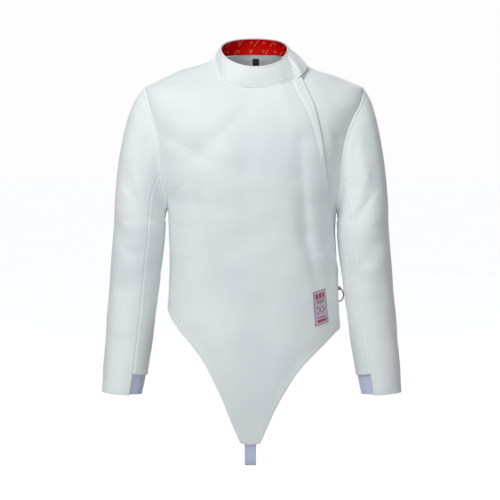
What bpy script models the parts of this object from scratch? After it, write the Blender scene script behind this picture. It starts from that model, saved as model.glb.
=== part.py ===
"""Fencing jacket for a right-handed fencer, worn shape with no wearer.

Units: tables are in millimetres, as a pattern cutter writes them, and MM turns them to metres when a mesh is
made.
Frame: +Z up, the wearer faces -Y, +X is the wearer's left. The origin is at the base of the neck, between the
shoulders that carry the jacket.
Every cloth piece is a wall: its outer points lie on the body of the garment and its inner points a wall's
thickness further in, so that pieces sewn to each other share one seam line.
"""

import math

import bmesh
import bpy
import numpy as np
from mathutils import Matrix, Vector

MM = 0.001

# Cloth
WALL = 2.0  # shell and its own facing, quilted together
THIN_WALL = 1.2  # collar lining, cuff elastic, strap
LABEL_WALL = 0.7
LABEL_LIFT = 0.9  # room for the flat faces of the cloth under a label
SEAM_GAP = 0.3  # between two pieces sewn together
OVERLAP_RAISE = 3.2  # how far the flap of the front stands off the panel under it
OVERLAP_WIDTH = 46.0  # cloth under the flap, from its free edge inwards
HIDDEN_WIDTH = 38.0  # how far the panel under the flap reaches in from the flap's edge
UNDER_TUCK = 1.0  # how far the panel under the flap lies inside the body's surface
TUCK_WIDTH = 25.0  # where that ends, outside the flap's free edge
SECTION_POWER = 2.4  # roundness of a level slice of the body: 2 is an ellipse, more is boxier

# Body of the garment, one row for each level slice. Half widths are from the middle line, and depths are
# from the line through the two sides, which lies at y = side.
TORSO_COLUMNS = ("height", "right_half", "left_half", "front", "back", "side")
TORSO = (
    (40, 52, 54, 1.5, 56, 8),
    (26, 74, 74, 4, 64, 7),
    (19, 82, 84, 8, 69, 6),
    (6, 109, 104, 19, 78, 6),
    (-6, 151, 127, 30, 86, 6),
    (-18, 177, 165, 41, 92, 5),
    (-31, 204, 199, 53, 97, 5),
    (-45, 229, 228, 67, 101, 4),
    (-70, 228, 228, 87, 107, 3),
    (-100, 223, 219, 102, 112, 2),
    (-140, 214, 206, 113, 116, 0),
    (-185, 205, 196, 120, 117, 0),
    (-235, 195, 186, 121, 112, 0),
    (-290, 181, 171.5, 117, 104, 0),
    (-345, 179, 168.8, 112, 97, 0),
    (-400, 177.5, 171.7, 109, 94, 0),
    (-450, 179, 172.3, 107, 97, 0),
    (-504, 182, 174.5, 106, 103, 0),
    (-544, 184, 176, 106, 107, 0),
    (-600, 180, 176, 104, 107, 0),
    (-680, 168, 168, 98, 104, 0),
    (-740, 154, 154, 89, 100, 0),
    (-800, 140, 140, 76, 96, 0),
)

# Largest folds: soft troughs (depth below zero) and ridges along a line from one point to another, as seen from
# the front or the back.
FOLD_COLUMNS = ("side", "x0", "z0", "x1", "z1", "half_width", "depth")
FOLDS = (
    ("front", 90, -165, 106, -345, 17, -4.5),
    ("front", 106, -345, 136, -465, 15, -3.5),
    ("front", -190, -135, -112, -178, 20, -3.0),
    ("front", -112, -178, -20, -95, 24, -3.0),
    ("front", -116, -190, -118, -280, 20, -2.6),
    ("front", -112, -300, -74, -480, 24, -2.4),
    ("front", -12, -150, -6, -345, 34, -2.6),
    ("front", 30, -420, 10, -600, 30, -2.0),
    ("front", 172, -150, 166, -250, 12, -3.0),
    ("back", -95, -120, -70, -300, 26, -3.2),
    ("back", 96, -130, 74, -320, 24, -3.4),
    ("back", 4, -180, 0, -420, 30, -3.0),
    ("back", -150, -330, -60, -450, 22, -2.6),
    ("back", 145, -350, 70, -460, 20, -2.4),
)

# Seam lines of the body, as seen from the front: x and height
RIGHT_TIP, LEFT_TIP = -42.0, -47.0  # heights of the shoulder points, where the sleeves begin
RIGHT_UNDERARM, LEFT_UNDERARM = -298.0, -303.0
RIGHT_RIDGE, LEFT_RIDGE = 19.0, 17.0  # heights where the shoulder seams meet the neck seam
ARMHOLE_ANGLE = {"right_front": 0.40, "left_front": 0.47, "right_back": 0.38, "left_back": 0.40}
ARMHOLE_SKEW = 0.10  # moves an armhole's widest place up
NECK_FRONT = ((-77, 4), (-72, -14), (-66, -31), (-56, -39), (-40, -43), (-20, -45), (2, -45.6), (25, -45),
              (45, -42), (60, -38), (71, -33), (83, -28), (94, -22.5))
NECK_UNDER = ((56, -39), (64, -35), (69, -27), (74, -12), (79, 4))
NECK_BACK = ((-66, 24), (-34, 27), (0, 27.5), (34, 27), (68, 23))
FLAP_EDGE = ((94, -22.5), (106, -50), (118, -80), (129.5, -125), (140, -187), (148.5, -249), (156, -315),
             (166, -397))
# Below the last point the flap's edge goes round the wearer's left side: angle behind the side line, and height
FLAP_EDGE_SIDE = ((3.0, -436), (9.0, -478), (12.5, -515), (14.0, -541))
LEG_RIGHT = ((-177, -514), (-165, -530), (-152, -547), (-137, -563), (-106, -603.5), (-80, -653.5),
             (-63.5, -691), (-49, -729), (-34.5, -765))
TAIL_TIP = ((-29.5, -776), (-9.5, -780), (11.5, -776))
LEG_LEFT = ((16.5, -764.5), (33, -725), (45.5, -697.5), (59.5, -671.5), (82.5, -634.5), (107, -605.5),
            (138, -576.5), (159.5, -557.5), (172, -547.5))
RIGHT_HEM, LEFT_HEM = -504.0, -541.0
HIDDEN_BOTTOM, HIDDEN_TOP = -535.0, -53.0  # heights between which the hidden edge keeps that distance
BACK_HEM = ((-150, -513), (-80, -524), (0, -530), (80, -534), (140, -540))
# The wearer's left side seam runs back as it goes down: degrees behind the side line, and height
LEFT_SIDE_SEAM = ((34.0, -544), (27.2, -420), (11.9, -340))

# Collar: a band from the tab's end round the front, the wearer's right, the back and the left, to its hidden
# end
RIM_HALF_WIDTH, RIM_HALF_DEPTH = 71.5, 64.0
RIM_MIDDLE = (1.5, 1.0, 30.8)
RIM_TILT, RIM_SADDLE = 33.2, 8.0  # the rim is lower in front, and higher at the sides than a flat cut
TAB_BOTTOM = ((109, -20, 2), (103, -33, -11), (94, -46, -20))
TAB_TOP = ((80.5, 1, 32), (76.5, 1, 34.5))
HIDDEN_END_INSET = 4.2  # how far the collar's hidden end lies inside the part over it
COLLAR_SPRING = 2.6  # how far the collar bows out between its seam and its rim
LINING_STAND = 1.6  # width of white edge left above the lining
COLLAR_LIFT = 0.7  # seam room between the panels' neck edges and the collar

# Sleeves: one row for each section square to the arm. The widths are across, seen from the front.
SLEEVE_COLUMNS = ("height", "right_x", "left_x", "half_width", "right_y", "left_y", "half_depth")
SLEEVE = (
    (-325, -239, 224.6, 54.3, -14, -26, 64),
    (-383, -244, 229, 53.8, -16, -24, 62),
    (-430, -248.5, 234.5, 52.5, -18, -23, 59),
    (-472, -253, 239, 51.5, -20, -23, 56),
    (-525, -258, 245, 50.5, -24, -26, 53),
    (-574, -263, 250.5, 49.0, -28, -29, 50),
    (-607, -266.5, 254.5, 48.0, -31, -32, 48),
    (-637, -270, 258, 46.5, -34, -35, 46),
    (-678, -276, 263.5, 43.5, -38, -39, 43),
)
FIRST_SECTION, LAST_SECTION = SLEEVE[0][0], SLEEVE[-1][0]
CAP_SHARE = 0.46  # share of a sleeve's rows that lie between the armhole and the first plain section
CAP_PULL = {"right": 0.66, "left": 0.50}  # fullness of each sleeve's cap
CAP_DROOP = {"right": 40.0, "left": 46.0}  # how steeply its top leaves the shoulder, in degrees
UNDERARM_DROOP = -5.0  # how steeply the underarm leaves the seam
CAP_SPREAD = 0.25  # how much the front and the back of a cap lean forwards and backwards
ARMHOLE_ROOM = 0.6  # how far a sleeve's edge lies inside the armhole's line
SLEEVE_SEAM = 114.0  # degrees from the outside of the arm to the front and the back seam
CUFF_ELASTIC = 43.0  # length of the elastic insert below the under sleeve's hem
CUFF_TUCK = 6.0  # elastic hidden inside that hem
CUFF_INSET = 3.2  # how far the elastic lies inside the sleeve's outer face
SLEEVE_FOLD_COLUMNS = ("angle0", "down0", "angle1", "down1", "half_angle", "half_down", "depth")
SLEEVE_FOLDS = (
    (60, 0.30, 110, 0.42, 22, 0.05, -3.0),
    (20, 0.46, 95, 0.56, 20, 0.04, -2.4),
    (70, 0.66, 130, 0.60, 22, 0.04, -2.6),
    (200, 0.34, 250, 0.44, 24, 0.05, -2.6),
    (250, 0.52, 310, 0.60, 24, 0.04, -2.4),
    (350, 0.20, 330, 0.34, 18, 0.06, -1.8),
)

# Strap between the legs. It is sewn inside the tail and inside the back hem at these heights, and between them
# it hangs along a path of y and height.
STRAP_WIDTH = 25.0
STRAP_MIDDLE = -8.6
STRAP_LIFT = {1: 1.25, -1: 0.8}  # room for the flat faces of the tail (1) and of the back (-1)
STRAP_IN_TAIL = (-750, -762, -774)
STRAP_PATH = ((-77, -788), (-76.4, -800), (-75.4, -814), (-73, -822), (-69.5, -825), (-66, -821.5), (-58, -806),
              (-24, -742), (18, -666), (60, -592), (86, -551))
STRAP_IN_BACK = (-527, -517, -507)

# Labels: corners as x and height, in the order top outer, top inner, bottom inner, bottom outer
HIP_LABEL = ((118, -463), (144.5, -456), (151.5, -526), (124, -533.5))
NECK_LABEL_SIZE = (26.0, 30.0)
SIZE_TAB_SIZE = (14.0, 13.0)
NECK_LABEL_X, NECK_LABEL_TOP = 3.0, 22.0

# Zip at the wearer's left hip
ZIP_BEHIND_EDGE = 3.2  # degrees behind the flap's free edge
ZIP_TAPE_ANGLE = 4.6  # width of the tape, in degrees round the side
ZIP_TAPE_TOP, ZIP_TAPE_BOTTOM = -424.0, -534.0
SLIDER_HEIGHT = -462.0
SLIDER_SIZE = (8.0, 4.0, 12.0)  # along the cloth, out from it, up
LUG_THICKNESS, LUG_REACH, LUG_RISE = 3.0, 7.0, 8.0
LUG_HOLE = 4.4
RING_RADIUS, RING_WIRE = 13.9, 1.3
RING_TURN = 50.0  # degrees from +X to the ring's plane, seen from above

# Steps of each grid
FRONT_STEPS = (26, 28)  # across and up
UNDER_STEPS = (9, 28)
BACK_STEPS = (18, 28)
SIDE_STEPS = 10  # up each side seam
COLLAR_STEPS = (46, 4)
LINING_START, LINING_END = 14, -4  # columns of the collar between which the lining shows
STRAP_STEPS = 48
SLEEVE_STEPS = (14, 8, 18)  # across the upper piece, across the under piece, along

COLOURS = {
    "shell": (0.76, 0.80, 0.80, 1.0),
    "lining": (0.52, 0.01, 0.01, 1.0),
    "elastic": (0.53, 0.58, 0.70, 1.0),
    "label": (0.62, 0.52, 0.60, 1.0),
    "tab": (0.02, 0.02, 0.02, 1.0),
    "metal": (0.10, 0.10, 0.11, 1.0),
    "tape": (0.70, 0.73, 0.74, 1.0),
}


def clear_scene():
    for thing in list(bpy.data.objects):
        bpy.data.objects.remove(thing, do_unlink=True)


def material_of(name, colour, roughness, metallic=0.0):
    material = bpy.data.materials.new(name)
    material.use_nodes = True
    shader = material.node_tree.nodes["Principled BSDF"]
    shader.inputs["Base Color"].default_value = colour
    shader.inputs["Roughness"].default_value = roughness
    shader.inputs["Metallic"].default_value = metallic
    material.diffuse_color = colour
    return material


def slopes(xs, ys):
    """Slopes of a smooth curve through points that never swings past them."""
    step = np.diff(xs)
    rise = np.diff(ys) / step
    slope = np.zeros_like(ys)
    slope[0], slope[-1] = rise[0], rise[-1]
    for i in range(1, len(xs) - 1):
        if rise[i - 1] * rise[i] > 0:
            before, after = 2 * step[i] + step[i - 1], step[i] + 2 * step[i - 1]
            slope[i] = (before + after) / (before / rise[i - 1] + after / rise[i])
    return slope


class Smooth:
    """A smooth curve y(x) through the points of a table."""

    def __init__(self, xs, ys):
        order = np.argsort(xs)
        self.xs = np.asarray(xs, float)[order]
        self.ys = np.asarray(ys, float)[order]
        self.slope = slopes(self.xs, self.ys)

    def __call__(self, x):
        x = np.clip(x, self.xs[0], self.xs[-1])
        i = np.clip(np.searchsorted(self.xs, x, side="right") - 1, 0, len(self.xs) - 2)
        width = self.xs[i + 1] - self.xs[i]
        s = (x - self.xs[i]) / width
        return (
            (1 + 2 * s) * (1 - s) ** 2 * self.ys[i]
            + s * (1 - s) ** 2 * width * self.slope[i]
            + s * s * (3 - 2 * s) * self.ys[i + 1]
            + s * s * (s - 1) * width * self.slope[i + 1]
        )


def column(rows, columns, name):
    """One named column of a table, as a smooth curve over its first column."""
    place = columns.index(name)
    return Smooth([row[0] for row in rows], [row[place] for row in rows])


torso = {name: column(TORSO, TORSO_COLUMNS, name) for name in TORSO_COLUMNS[1:]}


def smoothstep(value):
    value = np.clip(value, 0.0, 1.0)
    return value * value * (3 - 2 * value)


def fold_depth(x, z, side):
    """Height of the folds at a place on the front or the back."""
    total = 0.0
    for fold in FOLDS:
        row = dict(zip(FOLD_COLUMNS, fold))
        if row["side"] != side:
            continue
        start = np.array([row["x0"], row["z0"]], float)
        along = np.array([row["x1"], row["z1"]], float) - start
        length = np.linalg.norm(along)
        along /= length
        offset = np.array([x, z]) - start
        down = offset @ along
        beside = offset[0] * along[1] - offset[1] * along[0]
        past = max(0.0, -down, down - length)
        total += row["depth"] * math.exp(
            -((beside / row["half_width"]) ** 2) - (past / (1.4 * row["half_width"])) ** 2
        )
    return total


def body_point(angle, height):
    """A point of the garment's body. Angle 0 is the wearer's left side, 90 degrees the front, 180 the right."""
    across, deep = math.cos(angle), math.sin(angle)
    half = torso["left_half"](height) if across > 0 else torso["right_half"](height)
    side = "front" if deep > 0 else "back"
    depth = torso[side](height)
    x = half * math.copysign(abs(across) ** (2 / SECTION_POWER), across)
    y = torso["side"](height) - depth * math.copysign(abs(deep) ** (2 / SECTION_POWER), deep)
    fold = fold_depth(x, height, side) * smoothstep(abs(deep) * 2.2)
    return np.array([x, y + (-fold if side == "front" else fold), height])


def body_normal(angle, height):
    """The outward direction of the garment's body."""
    turn, rise = 0.02, 1.5
    across = body_point(angle + turn, height) - body_point(angle - turn, height)
    up = body_point(angle, height + rise) - body_point(angle, height - rise)
    normal = np.cross(up, across)
    return normal / np.linalg.norm(normal)


def front_angle(x, height):
    """The angle of the front point that lies at x."""
    half = torso["left_half"](height) if x > 0 else torso["right_half"](height)
    share = min(1.0, abs(x) / half) ** (SECTION_POWER / 2)
    return math.acos(math.copysign(share, x))


def front_line(points):
    return [(front_angle(x, z), z) for x, z in points]


def back_line(points):
    return [(-front_angle(x, z), z) for x, z in points]


def drawn(points, steps=6):
    """The x and height points of an edge, with more of them on a smooth curve between."""
    points = np.asarray(points, float)
    along = np.concatenate([[0.0], np.cumsum(np.linalg.norm(np.diff(points, axis=0), axis=1))])
    where = np.interp(np.arange(steps * (len(points) - 1) + 1) / steps, np.arange(len(points)), along)
    return list(zip(Smooth(along, points[:, 0])(where), Smooth(along, points[:, 1])(where)))


def side_corner(side, height):
    """The x and height of the garment's side at a height."""
    half = torso["right_half"](height) if side == "right" else torso["left_half"](height)
    return (-half if side == "right" else half), height


def smooth_line(points, count=160):
    """A smooth line through angle and height points, as many short steps."""
    points = np.asarray(points, float)
    scaled = points * np.array([110.0, 1.0])
    along = np.concatenate([[0.0], np.cumsum(np.linalg.norm(np.diff(scaled, axis=0), axis=1))])
    where = np.linspace(0, along[-1], count)
    return np.stack([Smooth(along, points[:, 0])(where), Smooth(along, points[:, 1])(where)], axis=1)


def resample(line, count, on_body=True):
    """The line as count + 1 points, evenly spaced on the garment."""
    line = np.asarray(line, float)
    solid = np.array([body_point(a, z) for a, z in line]) if on_body else line
    along = np.concatenate([[0.0], np.cumsum(np.linalg.norm(np.diff(solid, axis=0), axis=1))])
    where = np.linspace(0, along[-1], count + 1)
    return np.stack([np.interp(where, along, line[:, i]) for i in range(line.shape[1])], axis=1)


def joined(pieces):
    """Lines set end to end, each with its own number of steps, with their shared corners kept once."""
    out = [pieces[0]]
    out += [piece[1:] for piece in pieces[1:]]
    return np.concatenate(out)


def armhole_spot(side, face, turn):
    """Angle and height on the armhole. Turn is 0 at the shoulder point and 180 degrees at the underarm."""
    tip, under = (RIGHT_TIP, RIGHT_UNDERARM) if side == "right" else (LEFT_TIP, LEFT_UNDERARM)
    height = tip + (under - tip) * (1 - math.cos(turn)) / 2
    inwards = ARMHOLE_ANGLE[side + "_" + face] * math.sin(turn) * (1 + ARMHOLE_SKEW * math.cos(turn))
    angle = math.pi - inwards if side == "right" else inwards
    return angle if face == "front" else -angle, height


def armhole(side, face):
    """The armhole's line from the underarm to the shoulder point, with a point at each column of the sleeve."""
    upper, under, _ = SLEEVE_STEPS
    turns = np.concatenate([
        np.linspace(0, SLEEVE_SEAM, upper // 2 + 1), np.linspace(SLEEVE_SEAM, 180, under // 2 + 1)[1:]])
    return np.array([armhole_spot(side, face, turn) for turn in np.radians(turns)])[::-1]


def coons(left, right, bottom, top):
    """A grid of angle and height points filled between four lines. Rows run from bottom to top."""
    rows, columns = len(left), len(bottom)
    grid = np.zeros((rows, columns, 2))
    for i in range(rows):
        v = i / (rows - 1)
        for j in range(columns):
            u = j / (columns - 1)
            grid[i, j] = (
                (1 - v) * bottom[j] + v * top[j] + (1 - u) * left[i] + u * right[i]
                - (1 - u) * (1 - v) * bottom[0] - u * (1 - v) * bottom[-1]
                - (1 - u) * v * top[0] - u * v * top[-1]
            )
    return grid


def settled(grid, rounds=160, share=0.42):
    """The grid with its upper inner points evened out, so that it doesn't fold where its edge turns sharply."""
    scale = np.array([110.0, 1.0])
    even = grid * scale
    for _ in range(rounds):
        u = (even[1:-1, 2:] - even[1:-1, :-2]) / 2
        v = (even[2:, 1:-1] - even[:-2, 1:-1]) / 2
        across, along, skew = (v * v).sum(-1), (u * u).sum(-1), (u * v).sum(-1)
        twist = (even[2:, 2:] - even[2:, :-2] - even[:-2, 2:] + even[:-2, :-2]) / 4
        target = (
            across[..., None] * (even[1:-1, 2:] + even[1:-1, :-2])
            + along[..., None] * (even[2:, 1:-1] + even[:-2, 1:-1]) - 2 * skew[..., None] * twist
        ) / (2 * (across + along))[..., None]
        even[1:-1, 1:-1] += 0.8 * (target - even[1:-1, 1:-1])
    upper = smoothstep(np.linspace(0, 1, len(grid)) / 0.45)[:, None, None]
    return grid + share * upper * (even / scale - grid)


def wall_object(name, outer, inner, material):
    """A closed wall between two grids of points."""
    rows, columns, _ = outer.shape
    points = np.concatenate([outer.reshape(-1, 3), inner.reshape(-1, 3)]) * MM
    under = rows * columns
    faces = []
    for i in range(rows - 1):
        for j in range(columns - 1):
            a = i * columns + j
            b, c, d = a + 1, a + columns + 1, a + columns
            faces.append((a, b, c, d))
            faces.append((under + d, under + c, under + b, under + a))
    top = (rows - 1) * columns
    for j in range(columns - 1):
        faces.append((under + j, under + j + 1, j + 1, j))
        faces.append((top + j, top + j + 1, under + top + j + 1, under + top + j))
    for i in range(rows - 1):
        a, d = i * columns, (i + 1) * columns
        faces.append((a, d, under + d, under + a))
        b, c = a + columns - 1, d + columns - 1
        faces.append((b, under + b, under + c, c))
    return mesh_object(name, points, faces, material)


def mesh_object(name, points, faces, material):
    mesh = bpy.data.meshes.new(name)
    mesh.from_pydata([tuple(p) for p in points], [], faces)
    shaped = bmesh.new()
    shaped.from_mesh(mesh)
    bmesh.ops.recalc_face_normals(shaped, faces=shaped.faces)
    if shaped.calc_volume(signed=True) < 0:
        bmesh.ops.reverse_faces(shaped, faces=shaped.faces)
    shaped.to_mesh(mesh)
    shaped.free()
    mesh.shade_smooth()
    mesh.set_sharp_from_angle(angle=math.radians(50))
    mesh.materials.append(material)
    thing = bpy.data.objects.new(name, mesh)
    bpy.context.scene.collection.objects.link(thing)
    return thing


def on_body(grid, outward):
    """Places of a grid of angle and height points, moved out from the body by outward(angle, height)."""
    rows, columns, _ = grid.shape
    places = np.zeros((rows, columns, 3))
    normals = np.zeros((rows, columns, 3))
    for i in range(rows):
        for j in range(columns):
            angle, height = grid[i, j]
            normals[i, j] = body_normal(angle, height)
            places[i, j] = body_point(angle, height) + normals[i, j] * outward(angle, height)
    return places, normals


def panel(name, grid, material, outward=lambda angle, height: 0.0, wall=WALL, gap=SEAM_GAP / 2):
    """A cloth panel that lies on the garment's body."""
    places, normals = on_body(grid, outward)
    return wall_object(name, *wall_of(places, normals, wall, gap), material)


def wall_of(places, normals, wall, gap):
    """Outer and inner grids of a wall, with its edges drawn in by the gap."""
    kept = places.copy()
    for edge, inner in ((0, 1), (-1, -2)):
        step = places[inner] - places[edge]
        kept[edge] += step / np.linalg.norm(step, axis=-1, keepdims=True) * gap
        step = places[:, inner] - places[:, edge]
        kept[:, edge] += step / np.linalg.norm(step, axis=-1, keepdims=True) * gap
    return kept, kept - normals * wall


def flap_line():
    """The free edge of the front, from the hem to the neck."""
    side = [(-math.radians(angle), height) for angle, height in reversed(FLAP_EDGE_SIDE)]
    return smooth_line(side + list(reversed(front_line(drawn(FLAP_EDGE)))))


def flap_edge_angle(height):
    line = flap_line_table
    return np.interp(height, line[:, 1], line[:, 0])


def overlap_raise(angle, height):
    """How far the front stands off the body near its free edge, where another panel lies under it."""
    edge = flap_edge_angle(height)
    if angle <= edge:
        return OVERLAP_RAISE
    inside = np.linalg.norm(body_point(angle, height) - body_point(edge, height))
    return OVERLAP_RAISE * (1 - smoothstep((inside - OVERLAP_WIDTH) / (0.75 * OVERLAP_WIDTH)))


def tucked_in(angle, height):
    """How far the panel under the flap lies inside the body, to leave the flap room."""
    edge = flap_edge_angle(height)
    outside = np.linalg.norm(body_point(angle, height) - body_point(edge, height)) if angle < edge else 0.0
    return -UNDER_TUCK * (1 - smoothstep(outside / TUCK_WIDTH))


def angle_inside(edge, height, distance):
    """The angle of the place that lies a distance in front of another at the same height."""
    start = body_point(edge, height)
    angle = edge
    while np.linalg.norm(body_point(angle, height) - start) < distance:
        angle += 0.01
    return angle


def front_panel(material):
    across, up = FRONT_STEPS
    opening = armhole("right", "front")
    low, high = SIDE_STEPS, up - SIDE_STEPS - len(opening) + 1
    side_seam = resample([(math.pi, RIGHT_HEM), (math.pi, RIGHT_UNDERARM)], low)
    shoulder = resample([(math.pi, RIGHT_TIP), (math.pi, RIGHT_RIDGE)], high)
    left = joined([side_seam, opening, shoulder])
    right = resample(flap_line_table, up)
    half = across // 2 - 1
    leg = drawn((side_corner("right", RIGHT_HEM),) + LEG_RIGHT + TAIL_TIP[:1])
    right_leg = resample(smooth_line(front_line(leg)), half)
    tip = resample(smooth_line(front_line(TAIL_TIP)), 2)
    leg = front_line(drawn(TAIL_TIP[-1:] + LEG_LEFT))
    left_leg = resample(smooth_line(leg + [tuple(flap_line_table[0])]), half)
    bottom = joined([right_leg, tip, left_leg])
    neck = drawn((side_corner("right", RIGHT_RIDGE),) + NECK_FRONT)
    top = resample(smooth_line(front_line(neck)), across)
    grid = settled(coons(left, right, bottom, top))
    return panel("front_panel", grid, material, overlap_raise)


def left_side_seam():
    """The seam between the wearer's left front and the back, which runs backwards as it goes down."""
    line = [(-math.radians(angle), height) for angle, height in LEFT_SIDE_SEAM]
    return smooth_line(line + [(0.0, LEFT_UNDERARM)])


def under_panel(material):
    """The wearer's left front, most of which lies under the flap lower down."""
    across, up = UNDER_STEPS
    opening = armhole("left", "front")
    low, high = SIDE_STEPS, up - SIDE_STEPS - len(opening) + 1
    right = joined([
        resample(left_side_seam(), low),
        opening,
        resample([(0.0, LEFT_TIP), (0.0, LEFT_RIDGE)], high),
    ])
    neck = drawn(NECK_UNDER + (side_corner("left", LEFT_RIDGE),))
    top = resample(smooth_line(front_line(neck)), across)
    hidden = [(angle_inside(edge, height, HIDDEN_WIDTH), height) for edge, height in flap_line_table
              if HIDDEN_BOTTOM < height < HIDDEN_TOP]
    hidden = np.concatenate([hidden, [top[0]]])
    left = resample(hidden, up)
    hem_middle = (0.3 * left[0][0] + 0.7 * right[0][0], LEFT_HEM + 2)
    bottom = resample(smooth_line([tuple(left[0]), hem_middle, tuple(right[0])]), across)
    grid = settled(coons(left, right, bottom, top))
    return panel("left_front_panel", grid, material, tucked_in)


def back_neck():
    return drawn((side_corner("right", RIGHT_RIDGE),) + NECK_BACK + (side_corner("left", LEFT_RIDGE),))


def back_panel(material):
    across, up = BACK_STEPS
    opening = armhole("right", "back")
    low, high = SIDE_STEPS, up - SIDE_STEPS - len(opening) + 1
    left = joined([
        resample([(-math.pi, RIGHT_HEM), (-math.pi, RIGHT_UNDERARM)], low),
        opening,
        resample([(-math.pi, RIGHT_TIP), (-math.pi, RIGHT_RIDGE)], high),
    ])
    right = joined([
        resample(left_side_seam(), low),
        armhole("left", "back"),
        resample([(0.0, LEFT_TIP), (0.0, LEFT_RIDGE)], high),
    ])
    hem = back_line(drawn((side_corner("right", RIGHT_HEM),) + BACK_HEM))
    bottom = resample(smooth_line(hem + [tuple(right[0])]), across)
    top = resample(smooth_line(back_line(back_neck())), across)
    grid = coons(left, right, bottom, top)
    return panel("back_panel", grid, material)


def rim_point(turn):
    """A point of the collar's upper edge. Turn 0 is the wearer's left, 90 degrees the front."""
    x, y, z = RIM_MIDDLE
    return np.array([
        x + RIM_HALF_WIDTH * math.cos(turn),
        y - RIM_HALF_DEPTH * math.sin(turn),
        z - RIM_TILT * math.sin(turn) + RIM_SADDLE * math.cos(turn) ** 2,
    ])


def space_line(points, count):
    """A smooth line in space through points, as count + 1 evenly spaced ones."""
    points = np.asarray(points, float)
    along = np.concatenate([[0.0], np.cumsum(np.linalg.norm(np.diff(points, axis=0), axis=1))])
    curves = [Smooth(along, points[:, i]) for i in range(3)]
    where = np.linspace(0, along[-1], 400)
    fine = np.stack([curve(where) for curve in curves], axis=1)
    return resample(fine, count, on_body=False)


def grid_normals(places):
    """Normals of a grid of places, with rows going up and columns going round."""
    across = np.gradient(places, axis=1)
    up = np.gradient(places, axis=0)
    normals = np.cross(up, across)
    return normals / np.linalg.norm(normals, axis=-1, keepdims=True)


def collar_grid():
    """The collar's outer face: rows from the neck seam to the rim, columns from the tab to the hidden end."""
    across, up = COLLAR_STEPS
    neck = drawn((side_corner("right", RIGHT_RIDGE),) + NECK_FRONT[:-1])
    front = [body_point(a, z) + body_normal(a, z) * overlap_raise(a, z)
             for a, z in reversed(front_line(neck)[1:])]
    back = [body_point(a, z) for a, z in back_line(back_neck())]
    neck = drawn(NECK_UNDER[2:] + (side_corner("left", LEFT_RIDGE),))
    under = [body_point(a, z) for a, z in reversed(front_line(neck)[:-1])]
    bottom = [np.array(p, float) for p in TAB_BOTTOM] + front + back + under
    lift = np.array([0.0, 0.0, COLLAR_LIFT])
    bottom = [p + lift for p in bottom]
    bottom[-1] = bottom[-1] + lift
    turns = np.radians(np.concatenate([np.linspace(6, 180, 15), np.linspace(192, 360, 15), [378, 396]]))
    top = [np.array(p, float) for p in TAB_TOP]
    for turn in turns:
        point = rim_point(turn)
        inward = smoothstep((math.degrees(turn) - 270) / 80) * HIDDEN_END_INSET
        centre = np.array([RIM_MIDDLE[0], RIM_MIDDLE[1], point[2]])
        reach = centre - point
        top.append(point + reach / np.linalg.norm(reach) * inward)
    low, high = space_line(bottom, across), space_line(top, across)
    share = np.linspace(0, 1, up + 1)[:, None, None]
    flat = low * (1 - share) + high * share
    return flat + grid_normals(flat) * COLLAR_SPRING * 4 * share * (1 - share)


def collar(material):
    places = collar_grid()
    return wall_object("collar", places, places - grid_normals(places) * WALL, material)


def collar_lining(material):
    """The lining shows inside the collar, from its front round the back to the hidden end."""
    places = collar_grid()
    normals = grid_normals(places)
    shown = slice(LINING_START, LINING_END)
    share = np.linspace(0, 1, COLLAR_STEPS[1] + 1)[:, None, None]
    face = places - normals * (WALL + SEAM_GAP)
    low, high = face[0, shown], face[-1, shown]
    height = np.linalg.norm(high - low, axis=-1, keepdims=True)
    low = low + (high - low) / height * 1.0
    high = high - (high - low) / height * LINING_STAND
    outer = low * (1 - share) + high * share
    return wall_object("collar_lining", outer, outer - normals[:, shown] * THIN_WALL, material)


def sleeve_fold(angle, down):
    degrees = math.degrees(angle) % 360
    total = 0.0
    for fold in SLEEVE_FOLDS:
        row = dict(zip(SLEEVE_FOLD_COLUMNS, fold))
        along = np.array([(row["angle1"] - row["angle0"]) / 100, row["down1"] - row["down0"]])
        length = np.linalg.norm(along)
        turn = (degrees - row["angle0"] + 180) % 360 - 180
        offset = np.array([turn / 100, down - row["down0"]])
        share = np.clip(offset @ along / length**2, 0, 1)
        miss = offset - share * along
        total += row["depth"] * math.exp(
            -((100 * miss[0] / row["half_angle"]) ** 2) - (miss[1] / row["half_down"]) ** 2
        )
    return total


sleeve_column = {name: column(SLEEVE, SLEEVE_COLUMNS, name) for name in SLEEVE_COLUMNS[1:]}


def sleeve_section(side, angle, height):
    """A point of the sleeve below the armhole. Angle 0 is the outside of the arm and 90 degrees its front."""
    outward = -1.0 if side == "right" else 1.0
    middle = [np.array([sleeve_column[side + "_x"](z), sleeve_column[side + "_y"](z), z])
              for z in (height + 8, height - 8)]
    centre = (middle[0] + middle[1]) / 2
    axis = middle[1] - middle[0]
    axis /= np.linalg.norm(axis)
    wide = np.array([outward, 0.0, 0.0])
    wide -= axis * (wide @ axis)
    wide /= np.linalg.norm(wide)
    forward = np.array([0.0, -1.0, 0.0])
    forward -= axis * (forward @ axis)
    forward /= np.linalg.norm(forward)
    return (centre + wide * math.cos(angle) * sleeve_column["half_width"](height)
            + forward * math.sin(angle) * sleeve_column["half_depth"](height)), axis


def armhole_place(side, angle):
    """The place of the armhole's seam at an angle round the sleeve, and the body's outward direction there."""
    turn = angle % (2 * math.pi)
    face = "front" if turn <= math.pi else "back"
    spot = armhole_spot(side, face, min(turn, 2 * math.pi - turn))
    return body_point(*spot), body_normal(*spot)


def armhole_middle(side):
    turns = (0.0, math.pi / 2, math.pi)
    spots = [armhole_spot(side, face, turn) for face in ("front", "back") for turn in turns]
    return np.mean([body_point(*spot) for spot in spots], axis=0)


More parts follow.
